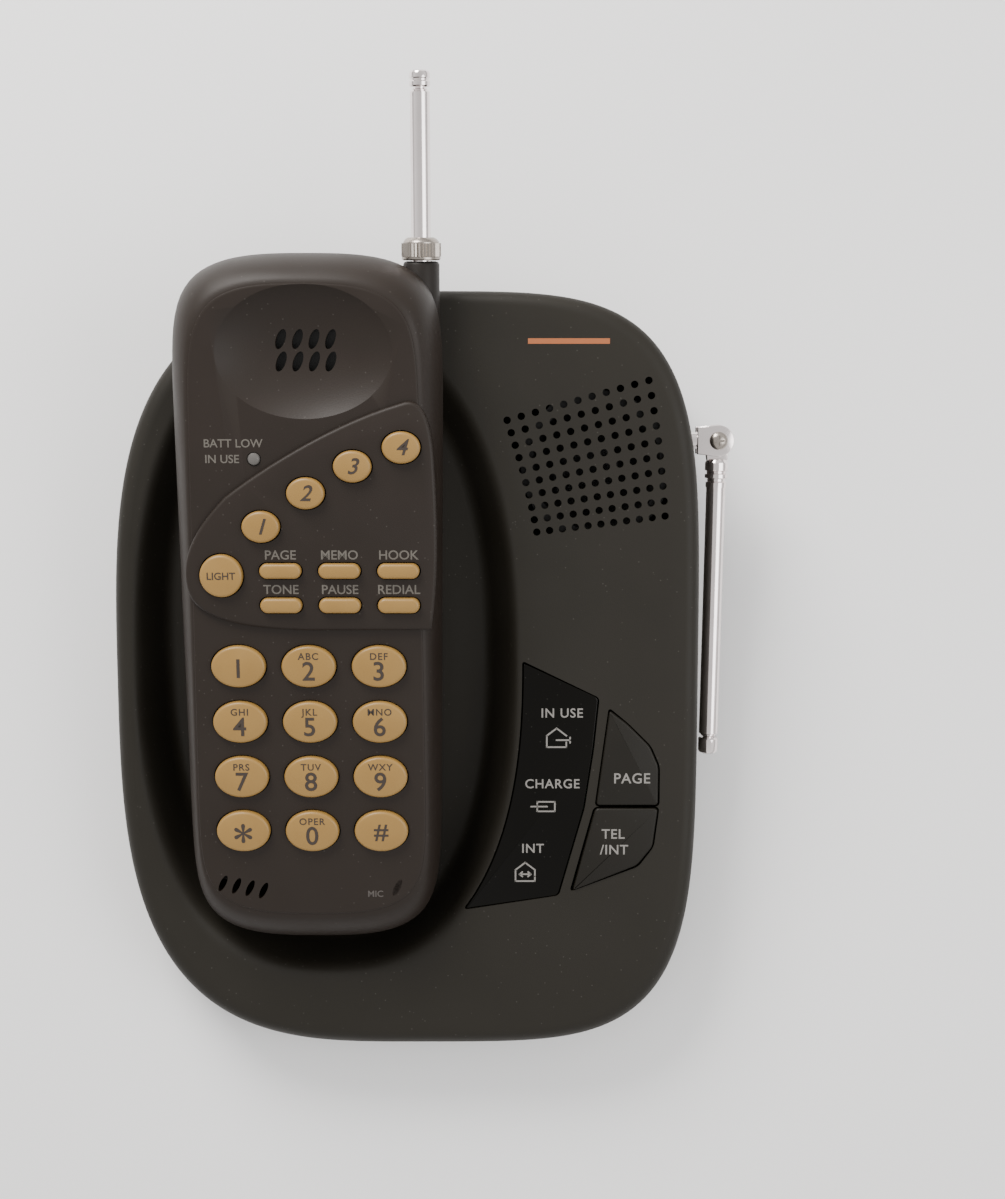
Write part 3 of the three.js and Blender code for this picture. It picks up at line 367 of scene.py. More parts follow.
def moulded(name, dark, light, roughness, depth=0.00002, grain_scale=2600.0, gloss_spread=0.06, specks=0.0,
            cloud_scale=40.0, specular=0.5):
    """A moulded plastic: two close colours clouded together, a fine grain, and uneven gloss."""
    material, tree, shader = surface_material(name, dark, roughness)
    nodes, links = tree.nodes, tree.links
    shader.inputs["Specular IOR Level"].default_value = specular
    grain = nodes.new("ShaderNodeGroup")
    grain.node_tree = GRAIN
    grain.inputs["Grain Scale"].default_value = grain_scale
    grain.inputs["Cloud Scale"].default_value = cloud_scale
    tint = nodes.new("ShaderNodeMix")
    tint.data_type = "RGBA"
    tint.inputs["A"].default_value = (*dark, 1)
    tint.inputs["B"].default_value = (*light, 1)
    links.new(grain.outputs["Cloud"], tint.inputs["Factor"])
    dusted = nodes.new("ShaderNodeMix")
    dusted.data_type = "RGBA"
    dusted.inputs["B"].default_value = (0.35, 0.33, 0.30, 1)
    amount = nodes.new("ShaderNodeMath")
    amount.operation = "MULTIPLY"
    amount.inputs[1].default_value = specks
    links.new(grain.outputs["Speck"], amount.inputs[0])
    links.new(amount.outputs[0], dusted.inputs["Factor"])
    links.new(tint.outputs["Result"], dusted.inputs["A"])
    links.new(dusted.outputs["Result"], shader.inputs["Base Color"])
    gloss = nodes.new("ShaderNodeMapRange")
    gloss.inputs["From Min"].default_value = 0.3
    gloss.inputs["From Max"].default_value = 0.7
    gloss.inputs["To Min"].default_value = roughness - gloss_spread
    gloss.inputs["To Max"].default_value = roughness + gloss_spread
    links.new(grain.outputs["Cloud"], gloss.inputs["Value"])
    links.new(gloss.outputs["Result"], shader.inputs["Roughness"])
    bump = nodes.new("ShaderNodeBump")
    bump.inputs["Distance"].default_value = depth
    bump.inputs["Strength"].default_value = 1.0
    links.new(grain.outputs["Height"], bump.inputs["Height"])
    links.new(bump.outputs["Normal"], shader.inputs["Normal"])
    return material


BASE_PLASTIC = moulded(
    "charcoal base plastic", (0.0118, 0.0100, 0.0068), (0.0162, 0.0138, 0.0098), 0.55, specks=0.08, specular=0.25,
)

CONSOLE_FRONT = -BASE_LONG / 2
RIM_RIGHT = CRADLE.x + RIM["wide"]
KEY_RIGHT = BASE_WIDE / 2 - 11.2
KEY_SPLIT = CONSOLE_FRONT + 66.5
KEY_LEFT = RIM_RIGHT + 18.8 + 2.6


def rim_side(y):
    long = RIM["low"] if y < CRADLE.y else RIM["high"]
    share = 1 - min(1.0, abs(y - CRADLE.y) / long) ** RIM["power"]
    return CRADLE.x + RIM["wide"] * share ** (1 / RIM["power"])


def window_outline(inset):
    steps = 16
    low, high = CONSOLE_FRONT + 38 + inset, CONSOLE_FRONT + 106 - 2 * inset
    left = [(rim_side(y) + 2 + inset, y) for y in (high + (low - high) * i / steps for i in range(steps + 1))]
    right = [
        (RIM_RIGHT + x - inset, CONSOLE_FRONT + y) for x, y in ((12, 42), (18.8, 66), (21.2, 82), (22.6, 96))
    ]
    return left + right


def page_outline(inset):
    return [
        (KEY_LEFT + inset, KEY_SPLIT + inset), (KEY_RIGHT - inset, KEY_SPLIT + inset),
        (KEY_RIGHT - inset, KEY_SPLIT + 11), (KEY_RIGHT - 2.4 - inset, KEY_SPLIT + 16.5),
        (KEY_LEFT + 9 - inset, KEY_SPLIT + 22.5), (KEY_LEFT + 3.6 + inset / 2, KEY_SPLIT + 27 - 2 * inset),
    ]


def intercom_outline(inset):
    return [
        (KEY_LEFT - 6.6 + 2 * inset, KEY_SPLIT - 23.5 + inset),
        (KEY_RIGHT - 5.5 - inset, KEY_SPLIT - 16.5 + inset), (KEY_RIGHT - 1.4 - inset, KEY_SPLIT - 11),
        (KEY_RIGHT - inset, KEY_SPLIT - inset), (KEY_LEFT - 0.2 + inset, KEY_SPLIT - inset),
    ]


def grille_places():
    """Eleven columns by ten rows, fanned so that the pattern turns with the casing's side."""
    for column in range(11):
        across = column / 10
        back = Vector((
            RIM_RIGHT - 2 + (BASE_WIDE / 2 - 15.2 - RIM_RIGHT + 2) * across,
            BASE_LONG / 2 - (34 + (23.7 - 34) * across),
        ))
        front = Vector((
            RIM_RIGHT + 5.8 + (BASE_WIDE / 2 - 10.6 - RIM_RIGHT - 5.8) * across,
            BASE_LONG / 2 - (63.2 + (59 - 63.2) * across),
        ))
        for row in range(10):
            down = row / 9
            yield back.lerp(front, down) + Vector((0.6 * math.sin(math.pi * down), 0))


def base_top():
    deck = lambda x, y: deck_height(y)
    floor = lambda x, y: floor_height(y)
    rings = [(within_base(0), lambda x, y: 10.15), (within_base(0.05), lambda x, y: 10.4)]
    for share in (0.3, 0.65, 1.0):
        rings.append((
            within_base(share), lambda x, y, s=share: 10.4 + (deck_height(y) - 4 - 10.4) * s,
        ))
    for i in range(1, 9):
        turn = i / 8 * math.pi / 2
        rings.append((
            within_base(1 + 4 * (1 - math.cos(turn))),
            lambda x, y, t=turn: deck_height(y) - 4 * (1 - math.sin(t)),
        ))
    between = 8

    def deck_ring(share):
        outer = within_base(5)
        return lambda turn: reach(outer, CRADLE, turn).lerp(
            reach(within_rim(-lip_width(turn)), CRADLE, turn), share,
        )

    def lip_width(turn):
        return 1.7 + 2.6 * max(0.0, -math.sin(turn)) ** 2

    bm = loft(384, CRADLE, rings, close_top=False)
    turn_of = bm.verts.layers.float["turn"]
    open_edges = [e for e in bm.edges if e.is_boundary and e.verts[0].co.z > 12]

    def grow(place, height):
        nonlocal open_edges
        grown = bmesh.ops.extrude_edge_only(bm, edges=open_edges)["geom"]
        open_edges = [part for part in grown if isinstance(part, bmesh.types.BMEdge)]
        for vert in (part for part in grown if isinstance(part, bmesh.types.BMVert)):
            flat = place(vert[turn_of])
            vert.co = (flat.x, flat.y, height(flat.y))

    for i in range(1, between + 1):
        grow(deck_ring(i / between), deck_height)
    lip_steps = 8
    for i in range(1, lip_steps + 1):
        t = i / lip_steps
        along = t * t * 1.6
        back = (1 - t) * (1 - t)

        def place(turn, along=along, back=back):
            return reach(within_rim(-lip_width(turn) * back + along), CRADLE, turn)

        def height(y, along=along):
            return deck_height(y) + (floor_height(y) - deck_height(y)) * along / WALL_RUN

        grow(place, height)
    for inset in (2.4, 3.4, 4.4, 5.2):
        grow(lambda turn, d=inset: reach(within_rim(d), CRADLE, turn),
             lambda y, d=inset: deck_height(y) + (floor_height(y) - deck_height(y)) * d / WALL_RUN)
    foot_steps = 5
    for i in range(1, foot_steps + 1):
        t = i / foot_steps
        inset = (1 - t) ** 2 * 5.2 + 2 * t * (1 - t) * WALL_RUN + t * t * 8.6
        drop = ((1 - t) ** 2 * 5.2 + 2 * t * (1 - t) * WALL_RUN + t * t * WALL_RUN) / WALL_RUN
        grow(lambda turn, d=inset: reach(within_rim(d), CRADLE, turn),
             lambda y, d=drop: deck_height(y) + (floor_height(y) - deck_height(y)) * d)
    for share in (0.85, 0.68, 0.5, 0.33, 0.16):
        grow(lambda turn, s=share: CRADLE.lerp(reach(within_rim(8.6), CRADLE, turn), s), floor_height)
    bmesh.ops.contextual_create(bm, geom=open_edges)
    return bm


def box_tool(x0, x1, y0, y1, z0, z1, matrix=BASE):
    bm = bmesh.new()
    bmesh.ops.create_cube(bm, size=1.0)
    bmesh.ops.scale(bm, verts=bm.verts, vec=(x1 - x0, y1 - y0, z1 - z0))
    bmesh.ops.translate(bm, verts=bm.verts, vec=((x0 + x1) / 2, (y0 + y1) / 2, (z0 + z1) / 2))
    return mesh_of(bm, "tool", matrix)


def disc_tool(x, y, radius, low, high, sides=24):
    bm = bmesh.new()
    bmesh.ops.create_cone(
        bm, cap_ends=True, segments=sides, radius1=radius, radius2=radius, depth=high - low,
        matrix=Matrix.Translation((x, y, (low + high) / 2)),
    )
    return bm


SOCKETS = ((BASE_WIDE / 2 - 44, 13, 12, 12), (BASE_WIDE / 2 - 68, 11, 11, 12))
SWIVEL = Vector((BASE_WIDE / 2 + 4.4, BASE_LONG / 2 - 38.5, deck_height(BASE_LONG / 2 - 38.5) - 14))


def base_top_tools():
    holes = [disc_tool(p.x, p.y, 0.98, -6, 3, 16) for p in grille_places()]
    openings = [
        plate(window_outline(0), -4, 4, 1.0), plate(page_outline(0), -6, 4, 1.2),
        plate(intercom_outline(0), -6, 4, 1.2),
    ]
    tools = [mesh_of(joined(holes), "tool", DECK)]
    tools += [mesh_of(opening, "tool", DECK) for opening in openings]
    for x, wide, tall, low in SOCKETS:
        tools.append(box_tool(
            x - wide / 2 - 0.3, x + wide / 2 + 0.3, BASE_LONG / 2 - 14, BASE_LONG / 2 + 5,
            low - 0.3, low + tall + 0.3,
        ))
    bearing = disc_tool(0, 0, 2.55, -8, 8, 32)
    bmesh.ops.rotate(bearing, verts=bearing.verts, matrix=Matrix.Rotation(math.pi / 2, 3, "Y"))
    bmesh.ops.translate(bearing, verts=bearing.verts, vec=(BASE_WIDE / 2, SWIVEL.y, SWIVEL.z))
    tools.append(mesh_of(bearing, "tool", BASE))
    for side in (-1, 1):
        low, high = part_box("charge_spring_left" if side < 0 else "charge_spring_right")
        slack = Vector((0.3, 0.3, 6.0)) * MM
        a, b = (low - slack) / MM, (high + slack) / MM
        tools.append(box_tool(a.x, b.x, a.y, b.y, a.z, b.z, SHRINK))
    return tools


top_mesh = worked(mesh_of(base_top(), "base_top", BASE), base_top_tools(), CASING * MM)
piece(top_mesh, "base_top_casing", "base", BASE_PLASTIC, ["base_top_cover"])

# ---- Base bottom casing -----------------------------------------------------------------------
# The shallow ABS tray that closes the wedge from below, drawn up to the top casing by two screws
# in round wells, with a fine parting line all the way round.
def base_bottom():
    profile = [(0.0, 9.85), (0.0, 5.4), (0.25, 4.3), (0.8, 3.2), (1.7, 2.4), (3.0, 2.0), (9.0, 2.0)]
    rings = [(within_base(inset), lambda x, y, h=height: h) for inset, height in profile]
    bm = loft(384, CRADLE, rings)
    turn_of = bm.verts.layers.float["turn"]
    edges = [e for e in bm.edges if e.is_boundary and e.verts[0].co.z < 3]
    bmesh.ops.contextual_create(bm, geom=edges)
    return bm


SCREW_WELLS = ((-BASE_WIDE / 2 + 27, -BASE_LONG / 2 + 16), (BASE_WIDE / 2 - 17, -BASE_LONG / 2 + 18))
bottom_tools = [mesh_of(joined([disc_tool(x, y, 1.9, 0, 9, 32) for x, y in SCREW_WELLS]), "tool", BASE)]
for x, wide, tall, low in SOCKETS:
    bottom_tools.append(box_tool(
        x - wide / 2 - 0.3, x + wide / 2 + 0.3, BASE_LONG / 2 - 14, BASE_LONG / 2 + 5, low - 0.3, 30,
    ))
bottom_mesh = worked(mesh_of(base_bottom(), "base_bottom", BASE), bottom_tools, 1.5 * MM)
piece(bottom_mesh, "base_bottom_casing", "base", BASE_PLASTIC, ["base_bottom_cover"])

# ---- Status window ----------------------------------------------------------------------------
# A strip of smoked, glossy acrylic set into the deck beside the cradle, over three lamps, with
# white words and small signs printed on it.
LABEL_FACE = 0.03


def outline_of(points):
    return [Vector((x, y)) for x, y in points]


def lettering(words, size, place, matrix, slant=0.0, spread=1.0, turn=0.0, align="CENTER"):
    """Printed words as flat pieces of mesh just above a surface."""
    curve = bpy.data.curves.new("words", "FONT")
    curve.body = words
    curve.size = size
    curve.shear = slant
    curve.space_character = spread
    curve.align_x = align
    curve.align_y = "CENTER"
    curve.resolution_u = 4
    curve.extrude = 0.012
    curve.offset = 0.012 * size
    holder = bpy.data.objects.new("words", curve)
    bpy.context.scene.collection.objects.link(holder)
    bpy.context.view_layer.update()
    mesh = bpy.data.meshes.new_from_object(holder.evaluated_get(bpy.context.evaluated_depsgraph_get()))
    bpy.data.objects.remove(holder)
    bpy.data.curves.remove(curve)
    mesh.transform(matrix @ Matrix.Translation(place) @ Matrix.Rotation(turn, 4, "Z"))
    return mesh


def printed(prints, name, body, material):
    """Several prints as one piece."""
    bm = bmesh.new()
    for mesh in prints:
        bm.from_mesh(mesh)
        bpy.data.meshes.remove(mesh)
    mesh = bpy.data.meshes.new(name)
    bm.to_mesh(mesh)
    bm.free()
    return piece(mesh, name, body, material)


def patch(points, height, matrix):
    """A flat printed patch."""
    bm = plate(points, height - 0.012, height + 0.012, 0)
    return mesh_of(bm, "patch", matrix)


def ink(name, colour, roughness=0.5):
    return moulded(
        name, colour, tuple(min(1.0, c * 1.12) for c in colour), roughness, 0.000004, 4000.0, 0.04,
        cloud_scale=300.0,
    )


SMOKED = moulded(
    "smoked acrylic", (0.0018, 0.0015, 0.0010), (0.0030, 0.0026, 0.0018), 0.10, 0.000002, 900.0, 0.03,
    specks=0.04, specular=0.13,
)
WHITE_INK = ink("grey white ink", (0.20, 0.19, 0.175))
WINDOW_TOP = -0.15
window_mesh = mesh_of(plate(window_outline(0.3), -3.4, WINDOW_TOP, 1.0, 0.35), "window", DECK)
piece(window_mesh, "status_window_pane", "base", SMOKED, ["status_window"], 50)

def strokes(place, runs, matrix, height, width=0.42):
    """A small line drawing: each run of points drawn as a chain of thin patches."""
    drawn = []
    for run in runs:
        for (x0, y0), (x1, y1) in zip(run, run[1:]):
            along = Vector((x1 - x0, y1 - y0)).normalized() * width / 2
            side = Vector((-along.y, along.x))
            a, b = Vector((x0, y0)) - along, Vector((x1, y1)) + along
            corners = (a - side, b - side, b + side, a + side)
            drawn.append(patch([(place[0] + c.x, place[1] + c.y) for c in corners], height, matrix))
    return drawn


HOUSE = [(2.6, -1.0), (2.6, -2.3), (-2.6, -2.3), (-2.6, 0.8), (0, 2.8), (2.6, 0.8)]
WINDOW_SIGNS = (
    ((39.7, -16.7), [HOUSE, [(0, -0.4), (3.6, -0.4)], [(3.6, -1.1), (3.6, 0.3)]]),
    ((36.4, -35.2), [
        [(-1.8, -1.3), (2.9, -1.3), (2.9, 1.3), (-1.8, 1.3), (-1.8, -1.3)], [(-3.4, 0), (0.8, 0)],
        [(-1.8, -0.5), (-1.8, 0.5)],
    ]),
    ((31.4, -53.4), [HOUSE + [(2.6, -1.0)], [(-1.5, -0.4), (1.5, -0.4)], [(-0.8, 0.2), (-1.5, -0.4), (-0.8, -1.0)],
                     [(0.8, 0.2), (1.5, -0.4), (0.8, -1.0)]]),
)
PRINT_AT = WINDOW_TOP + LABEL_FACE
window_print = []
for words, x, y in (("IN USE", 41.1, -9.9), ("CHARGE", 38.6, -29.1), ("INT", 33.4, -46.8)):
    window_print.append(lettering(words, 3.5, (x, y, PRINT_AT), DECK, spread=1.1))
for place, runs in WINDOW_SIGNS:
    window_print += strokes(place, runs, DECK, PRINT_AT)
printed(window_print, "window_print", "base", WHITE_INK)

# ---- Base keys --------------------------------------------------------------------------------
# Two push keys in the deck's right edge, moulded in the casing's plastic but smoother, each a
# little proud, with its name printed in white.
KEY_PLASTIC_DARK = moulded(
    "base key plastic", (0.0075, 0.0063, 0.0042), (0.0105, 0.0090, 0.0062), 0.45, 0.000008, 2600.0, specks=0.04,
    specular=0.24,
)
BASE_KEY_TOP = 0.5
for name, outline, node in (
    ("page_key_cap", page_outline, "page_key"), ("intercom_key_cap", intercom_outline, "intercom_key"),
):
    cap = mesh_of(plate(outline(0.4), -3.4, BASE_KEY_TOP, 1.0, 0.55), name, DECK)
    piece(cap, name, node, KEY_PLASTIC_DARK, [node], 50)
LABEL_AT = BASE_KEY_TOP + LABEL_FACE
printed(
    [lettering("PAGE", 3.9, (59.8, -27.5, LABEL_AT), DECK, spread=1.08)], "page_key_print", "page_key",
    WHITE_INK,
)
printed(
    [
        lettering("TEL", 3.7, (54.9, -42.7, LABEL_AT), DECK, spread=1.08),
        lettering("/INT", 3.7, (55.2, -47.0, LABEL_AT), DECK, spread=1.08),
    ],
    "intercom_key_print", "intercom_key", WHITE_INK,
)

# ---- Deck print -------------------------------------------------------------------------------
# A plain orange bar printed on the deck behind the grille.
ORANGE_INK = ink("orange ink", (0.33, 0.10, 0.030))
printed(
    [patch([(31.9, 87.4), (53.1, 87.4), (53.1, 88.8), (31.9, 88.8)], LABEL_FACE, DECK)],
    "deck_print", "base", ORANGE_INK,
)

# ---- Handset front casing ---------------------------------------------------------------------
# The charcoal ABS front shell: a long rounded bar with a crease round its flat face, flared
# flanks, an oval hollow for the ear and a raised panel below it for the memory and function keys.
HALF, HALF_WIDE = 90.0, 33.5
PARTING = 14.0
SIDE_IN, TOP_IN, BOTTOM_IN = 4.6, 7.0, 10.5
TAPER = 0.027
CREASE = 0.3


def within_handset(sides, top, bottom, taper):
    def inside(p):
        wide = (HALF_WIDE - sides) * (1 + taper * p.y / HALF)
        long = HALF - (top if p.y > 0 else bottom)
        return abs(p.x / wide) ** 3 + abs(p.y / long) ** 12 < 1

    return inside


def front_ring(turn, inset=0.0):
    inward = (1 - math.sin(turn)) / (1 - math.sin(CREASE))
    down = (math.cos(CREASE) - math.cos(turn)) / math.cos(CREASE) * PARTING
    inside = within_handset(
        inset + SIDE_IN * inward, inset + TOP_IN * inward, inset + BOTTOM_IN * inward,
        TAPER * (1 - 2 * inward),
    )
    return inside, -down


def handset_front(inset=0.0):
    rings = []
    steps = 14
    for i in range(steps + 1):
        turn = math.pi / 2 + (CREASE - math.pi / 2) * i / steps
        inside, height = front_ring(turn, inset)
        height = -PARTING + (0.15 if inset == 0 else -1) if i == 0 else min(height, -0.28) - inset
        rings.append((inside, lambda x, y, h=height: h))
    for step_in, height in ((0.12, -0.10), (0.34, -0.02), (0.65, 0.0)):
        inside, _ = front_ring(CREASE, step_in + inset)
        rings.append((inside, lambda x, y, h=height - inset: h))
    return loft(320, Vector((0, 0)), rings, close_top=True, close_bottom=True)


def oval(x, y, rx, ry, sides=32, lean=0.0):
    c, s = math.cos(lean), math.sin(lean)
    points = []
    for i in range(sides):
        t = 2 * math.pi * i / sides
        px, py = rx * math.cos(t), ry * math.sin(t)
        points.append((x + px * c - py * s, y + px * s + py * c))
    return points


def pill(x, y, rx, ry, sides=32):
    points = []
    for i in range(sides):
        t = 2 * math.pi * (i + 0.5) / sides
        shift = (rx - ry) * (1 if math.cos(t) > 0 else -1)
        points.append((x + shift + ry * math.cos(t), y + ry * math.sin(t)))
    return points


def bezier_run(*points):
    a, b, c, d = (Vector((*p, 0)) for p in points)
    return [(p.x, p.y) for p in geometry.interpolate_bezier(a, b, c, d, 14)][:-1]


def panel_outline(inset):
    side, foot, head = HALF_WIDE - 0.6 - inset, -3.2 + inset, 54 - inset
    points = [(side - 1.6, foot + 0.1)]
    points += bezier_run((0, foot), (-14, foot + 0.4), (-side + 6, foot + 1.9), (-side + 3.2, 6.2))
    points += bezier_run((-side + 3.2, 6.2), (-side + 1.2, 12.8), (-side + 3, 20.7), (-20, 30.7 - inset))
    points += bezier_run((-20, 30.7 - inset), (-10, 38.4 - inset), (8, 49.4 - inset), (24, head))
    points += bezier_run((24, head), (side - 4, head + 2), (side - 1.6, 51.2), (side - 0.8, 41.2))
    points += bezier_run((side - 0.8, 41.2), (side + 0.3, 23.2), (side + 0.2, 9.2), (side - 1.6, foot + 0.1))
    return points


PANEL_RISE, KEY_RISE, KEY_SLACK = 1.5, 1.5, 0.35
DIGITS = ("1", "2", "3", "4", "5", "6", "7", "8", "9", "star", "0", "hash")
KEYS = {}
for i, digit in enumerate(DIGITS):
    KEYS["key_" + digit] = (oval, (i % 3 - 1) * 17.8, -12.7 - 14.6 * (i // 3), 6.9, 5.4, 0.0)
for i, (x, y) in enumerate(((-11, 23.4), (0.3, 31.8), (12, 38.5), (24.1, 43.2))):
    KEYS["key_memory_%d" % (i + 1)] = (oval, x, y, 4.75, 3.95, PANEL_RISE)
KEYS["key_light"] = (oval, -21.2, 11, 5.4, 5.4, PANEL_RISE)
for i, word in enumerate(("page", "memo", "hook", "tone", "pause", "redial")):
    KEYS["key_" + word] = (pill, -6.4 + 14.75 * (i % 3), 12.2 - 8.8 * (i // 3), 5.25, 1.9, PANEL_RISE)
DISH = {"x": 0.3, "y": 66.5, "rx": 21.9, "ry": 16.5, "deep": 4.5, "ball": 12.0}


def dish_ball(grow):
    lift = DISH["ball"] - DISH["deep"]
    share = math.sqrt(1 - (lift / DISH["ball"]) ** 2)
    bm = bmesh.new()
    bmesh.ops.create_uvsphere(bm, u_segments=128, v_segments=64, radius=1.0)
    size = (DISH["rx"] / share + grow, DISH["ry"] / share + grow, DISH["ball"] + grow)
    bmesh.ops.scale(bm, verts=bm.verts, vec=size)
    bmesh.ops.translate(bm, verts=bm.verts, vec=(DISH["x"], DISH["y"], lift))
    return bm


def ear_and_mouth_slots():
    slots = []
    for row in range(2):
        for i in range(4):
            slots.append(oval(-5.6 + 4.1 * i, DISH["y"] + 2.8 - 5.5 * row, 1.15, 2.6, 24, -0.35))
    for i in range(4):
        slots.append(oval(-HALF_WIDE + 9.8 + 3.5 * i, -HALF + 18.9 - 0.65 * i, 0.8, 2.4, 24, -0.45))
    slots.append(oval(HALF_WIDE - 11.8, -HALF + 17.8, 0.8, 2.4, 24, -0.45))
    return [plate(points, -12, 4, 0) for points in slots]


def key_holes(surface, low, high):
    return [
        plate(shape(x, y, rx + KEY_SLACK, ry + KEY_SLACK), low, high, 0)
        for shape, x, y, rx, ry, stands in KEYS.values() if stands == surface
    ]


HANDSET_PLASTIC = moulded(
    "charcoal handset plastic", (0.0135, 0.0090, 0.0062), (0.0180, 0.0122, 0.0088), 0.50, specks=0.08,
    specular=0.27,
)
under_panel = plate(panel_outline(2.0), -12, 0.5, 0)
front_tools = [
    worked(mesh_of(handset_front(2.0), "hollow", HANDSET), [mesh_of(dish_ball(1.8), "tool", HANDSET)]),
    mesh_of(dish_ball(0), "tool", HANDSET),
    mesh_of(joined(ear_and_mouth_slots()), "tool", HANDSET),
    mesh_of(joined(key_holes(0.0, -12, 4) + [disc_tool(-12.5, 40.1, 1.75, -10, 4)]), "tool", HANDSET),
    mesh_of(under_panel, "tool", HANDSET),
]
front_mesh = worked(mesh_of(handset_front(), "front", HANDSET), front_tools)
piece(front_mesh, "handset_front_casing", "handset", HANDSET_PLASTIC, ["handset_front_cover"])
panel_mesh = worked(
    mesh_of(plate(panel_outline(0), -PARTING + 2.5, PANEL_RISE, 0, 0.9), "panel", HANDSET),
    [mesh_of(joined(key_holes(PANEL_RISE, -14, 4)), "tool", HANDSET)],
)
piece(panel_mesh, "handset_raised_panel", "handset", HANDSET_PLASTIC, sharp=40)

# ---- Handset rear casing and battery door -----------------------------------------------------
# The darker back shell of the handset, thinner behind the ear, with rounded edges; its lower part
# is a battery door that slides off towards the lower end and has a ribbed thumb grip.
def back_depth(y):
    t = min(1.0, max(0.0, (y - HALF * 0.3) / (HALF * 0.32)))
    return 30 + (24 - 30) * t * t * (3 - 2 * t)


def handset_rear(inset=0.0):
    top = -PARTING - 0.15 if inset == 0 else -PARTING + 1
    rings = [(within_handset(inset, inset, inset, TAPER), lambda x, y: top)]
    steps = 12
    for i in range(1, steps + 1):
        turn = i / steps * math.pi / 2
        inward = inset + 5 * (1 - math.cos(turn))
        share = math.sin(turn)
        rings.append((
            within_handset(inward, inward, inward, TAPER),
            lambda x, y, s=share: -PARTING + (PARTING - back_depth(y) + inset) * s,
        ))
    for share in (0.2, 0.4, 0.6, 0.8, 0.95):
        side, end = 5 + inset + share * (28.5 - inset), 5 + inset + share * (85 - inset)
        rings.append((within_handset(side, end, end, TAPER), lambda x, y: -back_depth(y) + inset))
    return loft(320, Vector((0, 0)), rings, close_top=True, close_bottom=True)


def along_y(bm, x=0.0, z=0.0):
    """A shape made about +Z, laid along +Y."""
    bmesh.ops.rotate(bm, verts=bm.verts, matrix=Matrix.Rotation(-math.pi / 2, 3, "X"))
    bmesh.ops.translate(bm, verts=bm.verts, vec=(x, 0, z))
    return bm


AERIAL_X, AERIAL_Z = HALF_WIDE - 4.9, -19.0
REAR_PLASTIC = moulded(
    "dark rear plastic", (0.0095, 0.0072, 0.0055), (0.0130, 0.0100, 0.0078), 0.48, specks=0.06, specular=0.25,
)


def rear_tools(slack):
    tools = [mesh_of(handset_rear(2.2), "tool", HANDSET)]
    tools.append(mesh_of(along_y(disc_tool(0, 0, 2.9, 38, 95, 40), AERIAL_X, AERIAL_Z), "tool", HANDSET))
    for side in (-1, 1):
        tools.append(box_tool(
            side * 24.5 - 2.1, side * 24.5 + 2.1, -70.6, -61.4, -32, -29.1, HANDSET,
        ))
    if slack:
        tools.append(box_tool(-20.25, 20.25, -95, -17.75, -35, -20.75, HANDSET))
    return tools


rear_mesh = worked(mesh_of(handset_rear(), "rear", HANDSET), rear_tools(True))
piece(rear_mesh, "handset_rear_casing", "handset", REAR_PLASTIC, ["handset_rear_cover"])
grip = [
    mesh_of(plate([(-7, y), (7, y), (7, y + 0.8), (-7, y + 0.8)], -31, -29.6, 0), "tool", HANDSET)
    for y in (-30, -32, -34, -36, -38)
]
door_mesh = worked(
    mesh_of(handset_rear(), "door", HANDSET), rear_tools(False)[:1] + grip,
    kept=[box_tool(-20, 20, -95, -18, -35, -21, HANDSET)],
)
piece(door_mesh, "battery_door_panel", "battery_door", REAR_PLASTIC, ["battery_door"])

# ---- Handset aerial ---------------------------------------------------------------------------
# A black boss on the handset's corner, a knurled nickel collar, and a telescopic aerial of three
# nested chromed brass sections with a turned tip.
def bright_metal(name, dark, light, roughness, scratch=0.05):
    """Plated metal: fine rubbed lines in the gloss, and a faint cloudy tarnish."""
    material, tree, shader = surface_material(name, light, roughness, 1.0)
    nodes, links = tree.nodes, tree.links
    grain = nodes.new("ShaderNodeGroup")
    grain.node_tree = GRAIN
    grain.inputs["Grain Scale"].default_value = 3000.0
    grain.inputs["Cloud Scale"].default_value = 120.0
    tint = nodes.new("ShaderNodeMix")
    tint.data_type = "RGBA"
    tint.inputs["A"].default_value = (*dark, 1)
    tint.inputs["B"].default_value = (*light, 1)
    links.new(grain.outputs["Cloud"], tint.inputs["Factor"])
    links.new(tint.outputs["Result"], shader.inputs["Base Color"])
    gloss = nodes.new("ShaderNodeMapRange")
    gloss.inputs["To Min"].default_value = roughness - scratch
    gloss.inputs["To Max"].default_value = roughness + scratch
    links.new(grain.outputs["Height"], gloss.inputs["Value"])
    links.new(gloss.outputs["Result"], shader.inputs["Roughness"])
    return material


CHROME = bright_metal("bright chrome", (0.80, 0.73, 0.72), (0.93, 0.87, 0.86), 0.13)
NICKEL = bright_metal("knurled nickel", (0.30, 0.27, 0.24), (0.42, 0.38, 0.34), 0.28)
boss_profile = [(0, 70), (4.6, 70), (4.6, 87.0), (4.3, 87.6), (3.7, 87.8), (0, 87.8)]
boss = mesh_of(along_y(turned(boss_profile, 64), AERIAL_X, AERIAL_Z), "boss", HANDSET)
boss = worked(boss, [mesh_of(along_y(disc_tool(0, 0, 2.9, 60, 95, 40), AERIAL_X, AERIAL_Z), "tool", HANDSET)])
piece(boss, "aerial_boss", "handset", REAR_PLASTIC)


def tube(outer, inner, low, high):
    """A thin-walled tube with rolled ends."""
    lip = 0.25
    profile = [
        (inner, low), (outer - lip, low), (outer, low + lip), (outer, high - lip), (outer - lip, high),
        (inner, high), (inner, low),
    ]
    return turned(profile, 56)


def knurled(radius, low, high, teeth):
    points = []
    for i in range(teeth * 2):
        t = math.pi * i / teeth
        r = radius - (0.35 if i % 2 else 0.0)
        points.append((r * math.cos(t), r * math.sin(t)))
    return plate(points, low, high, 0)


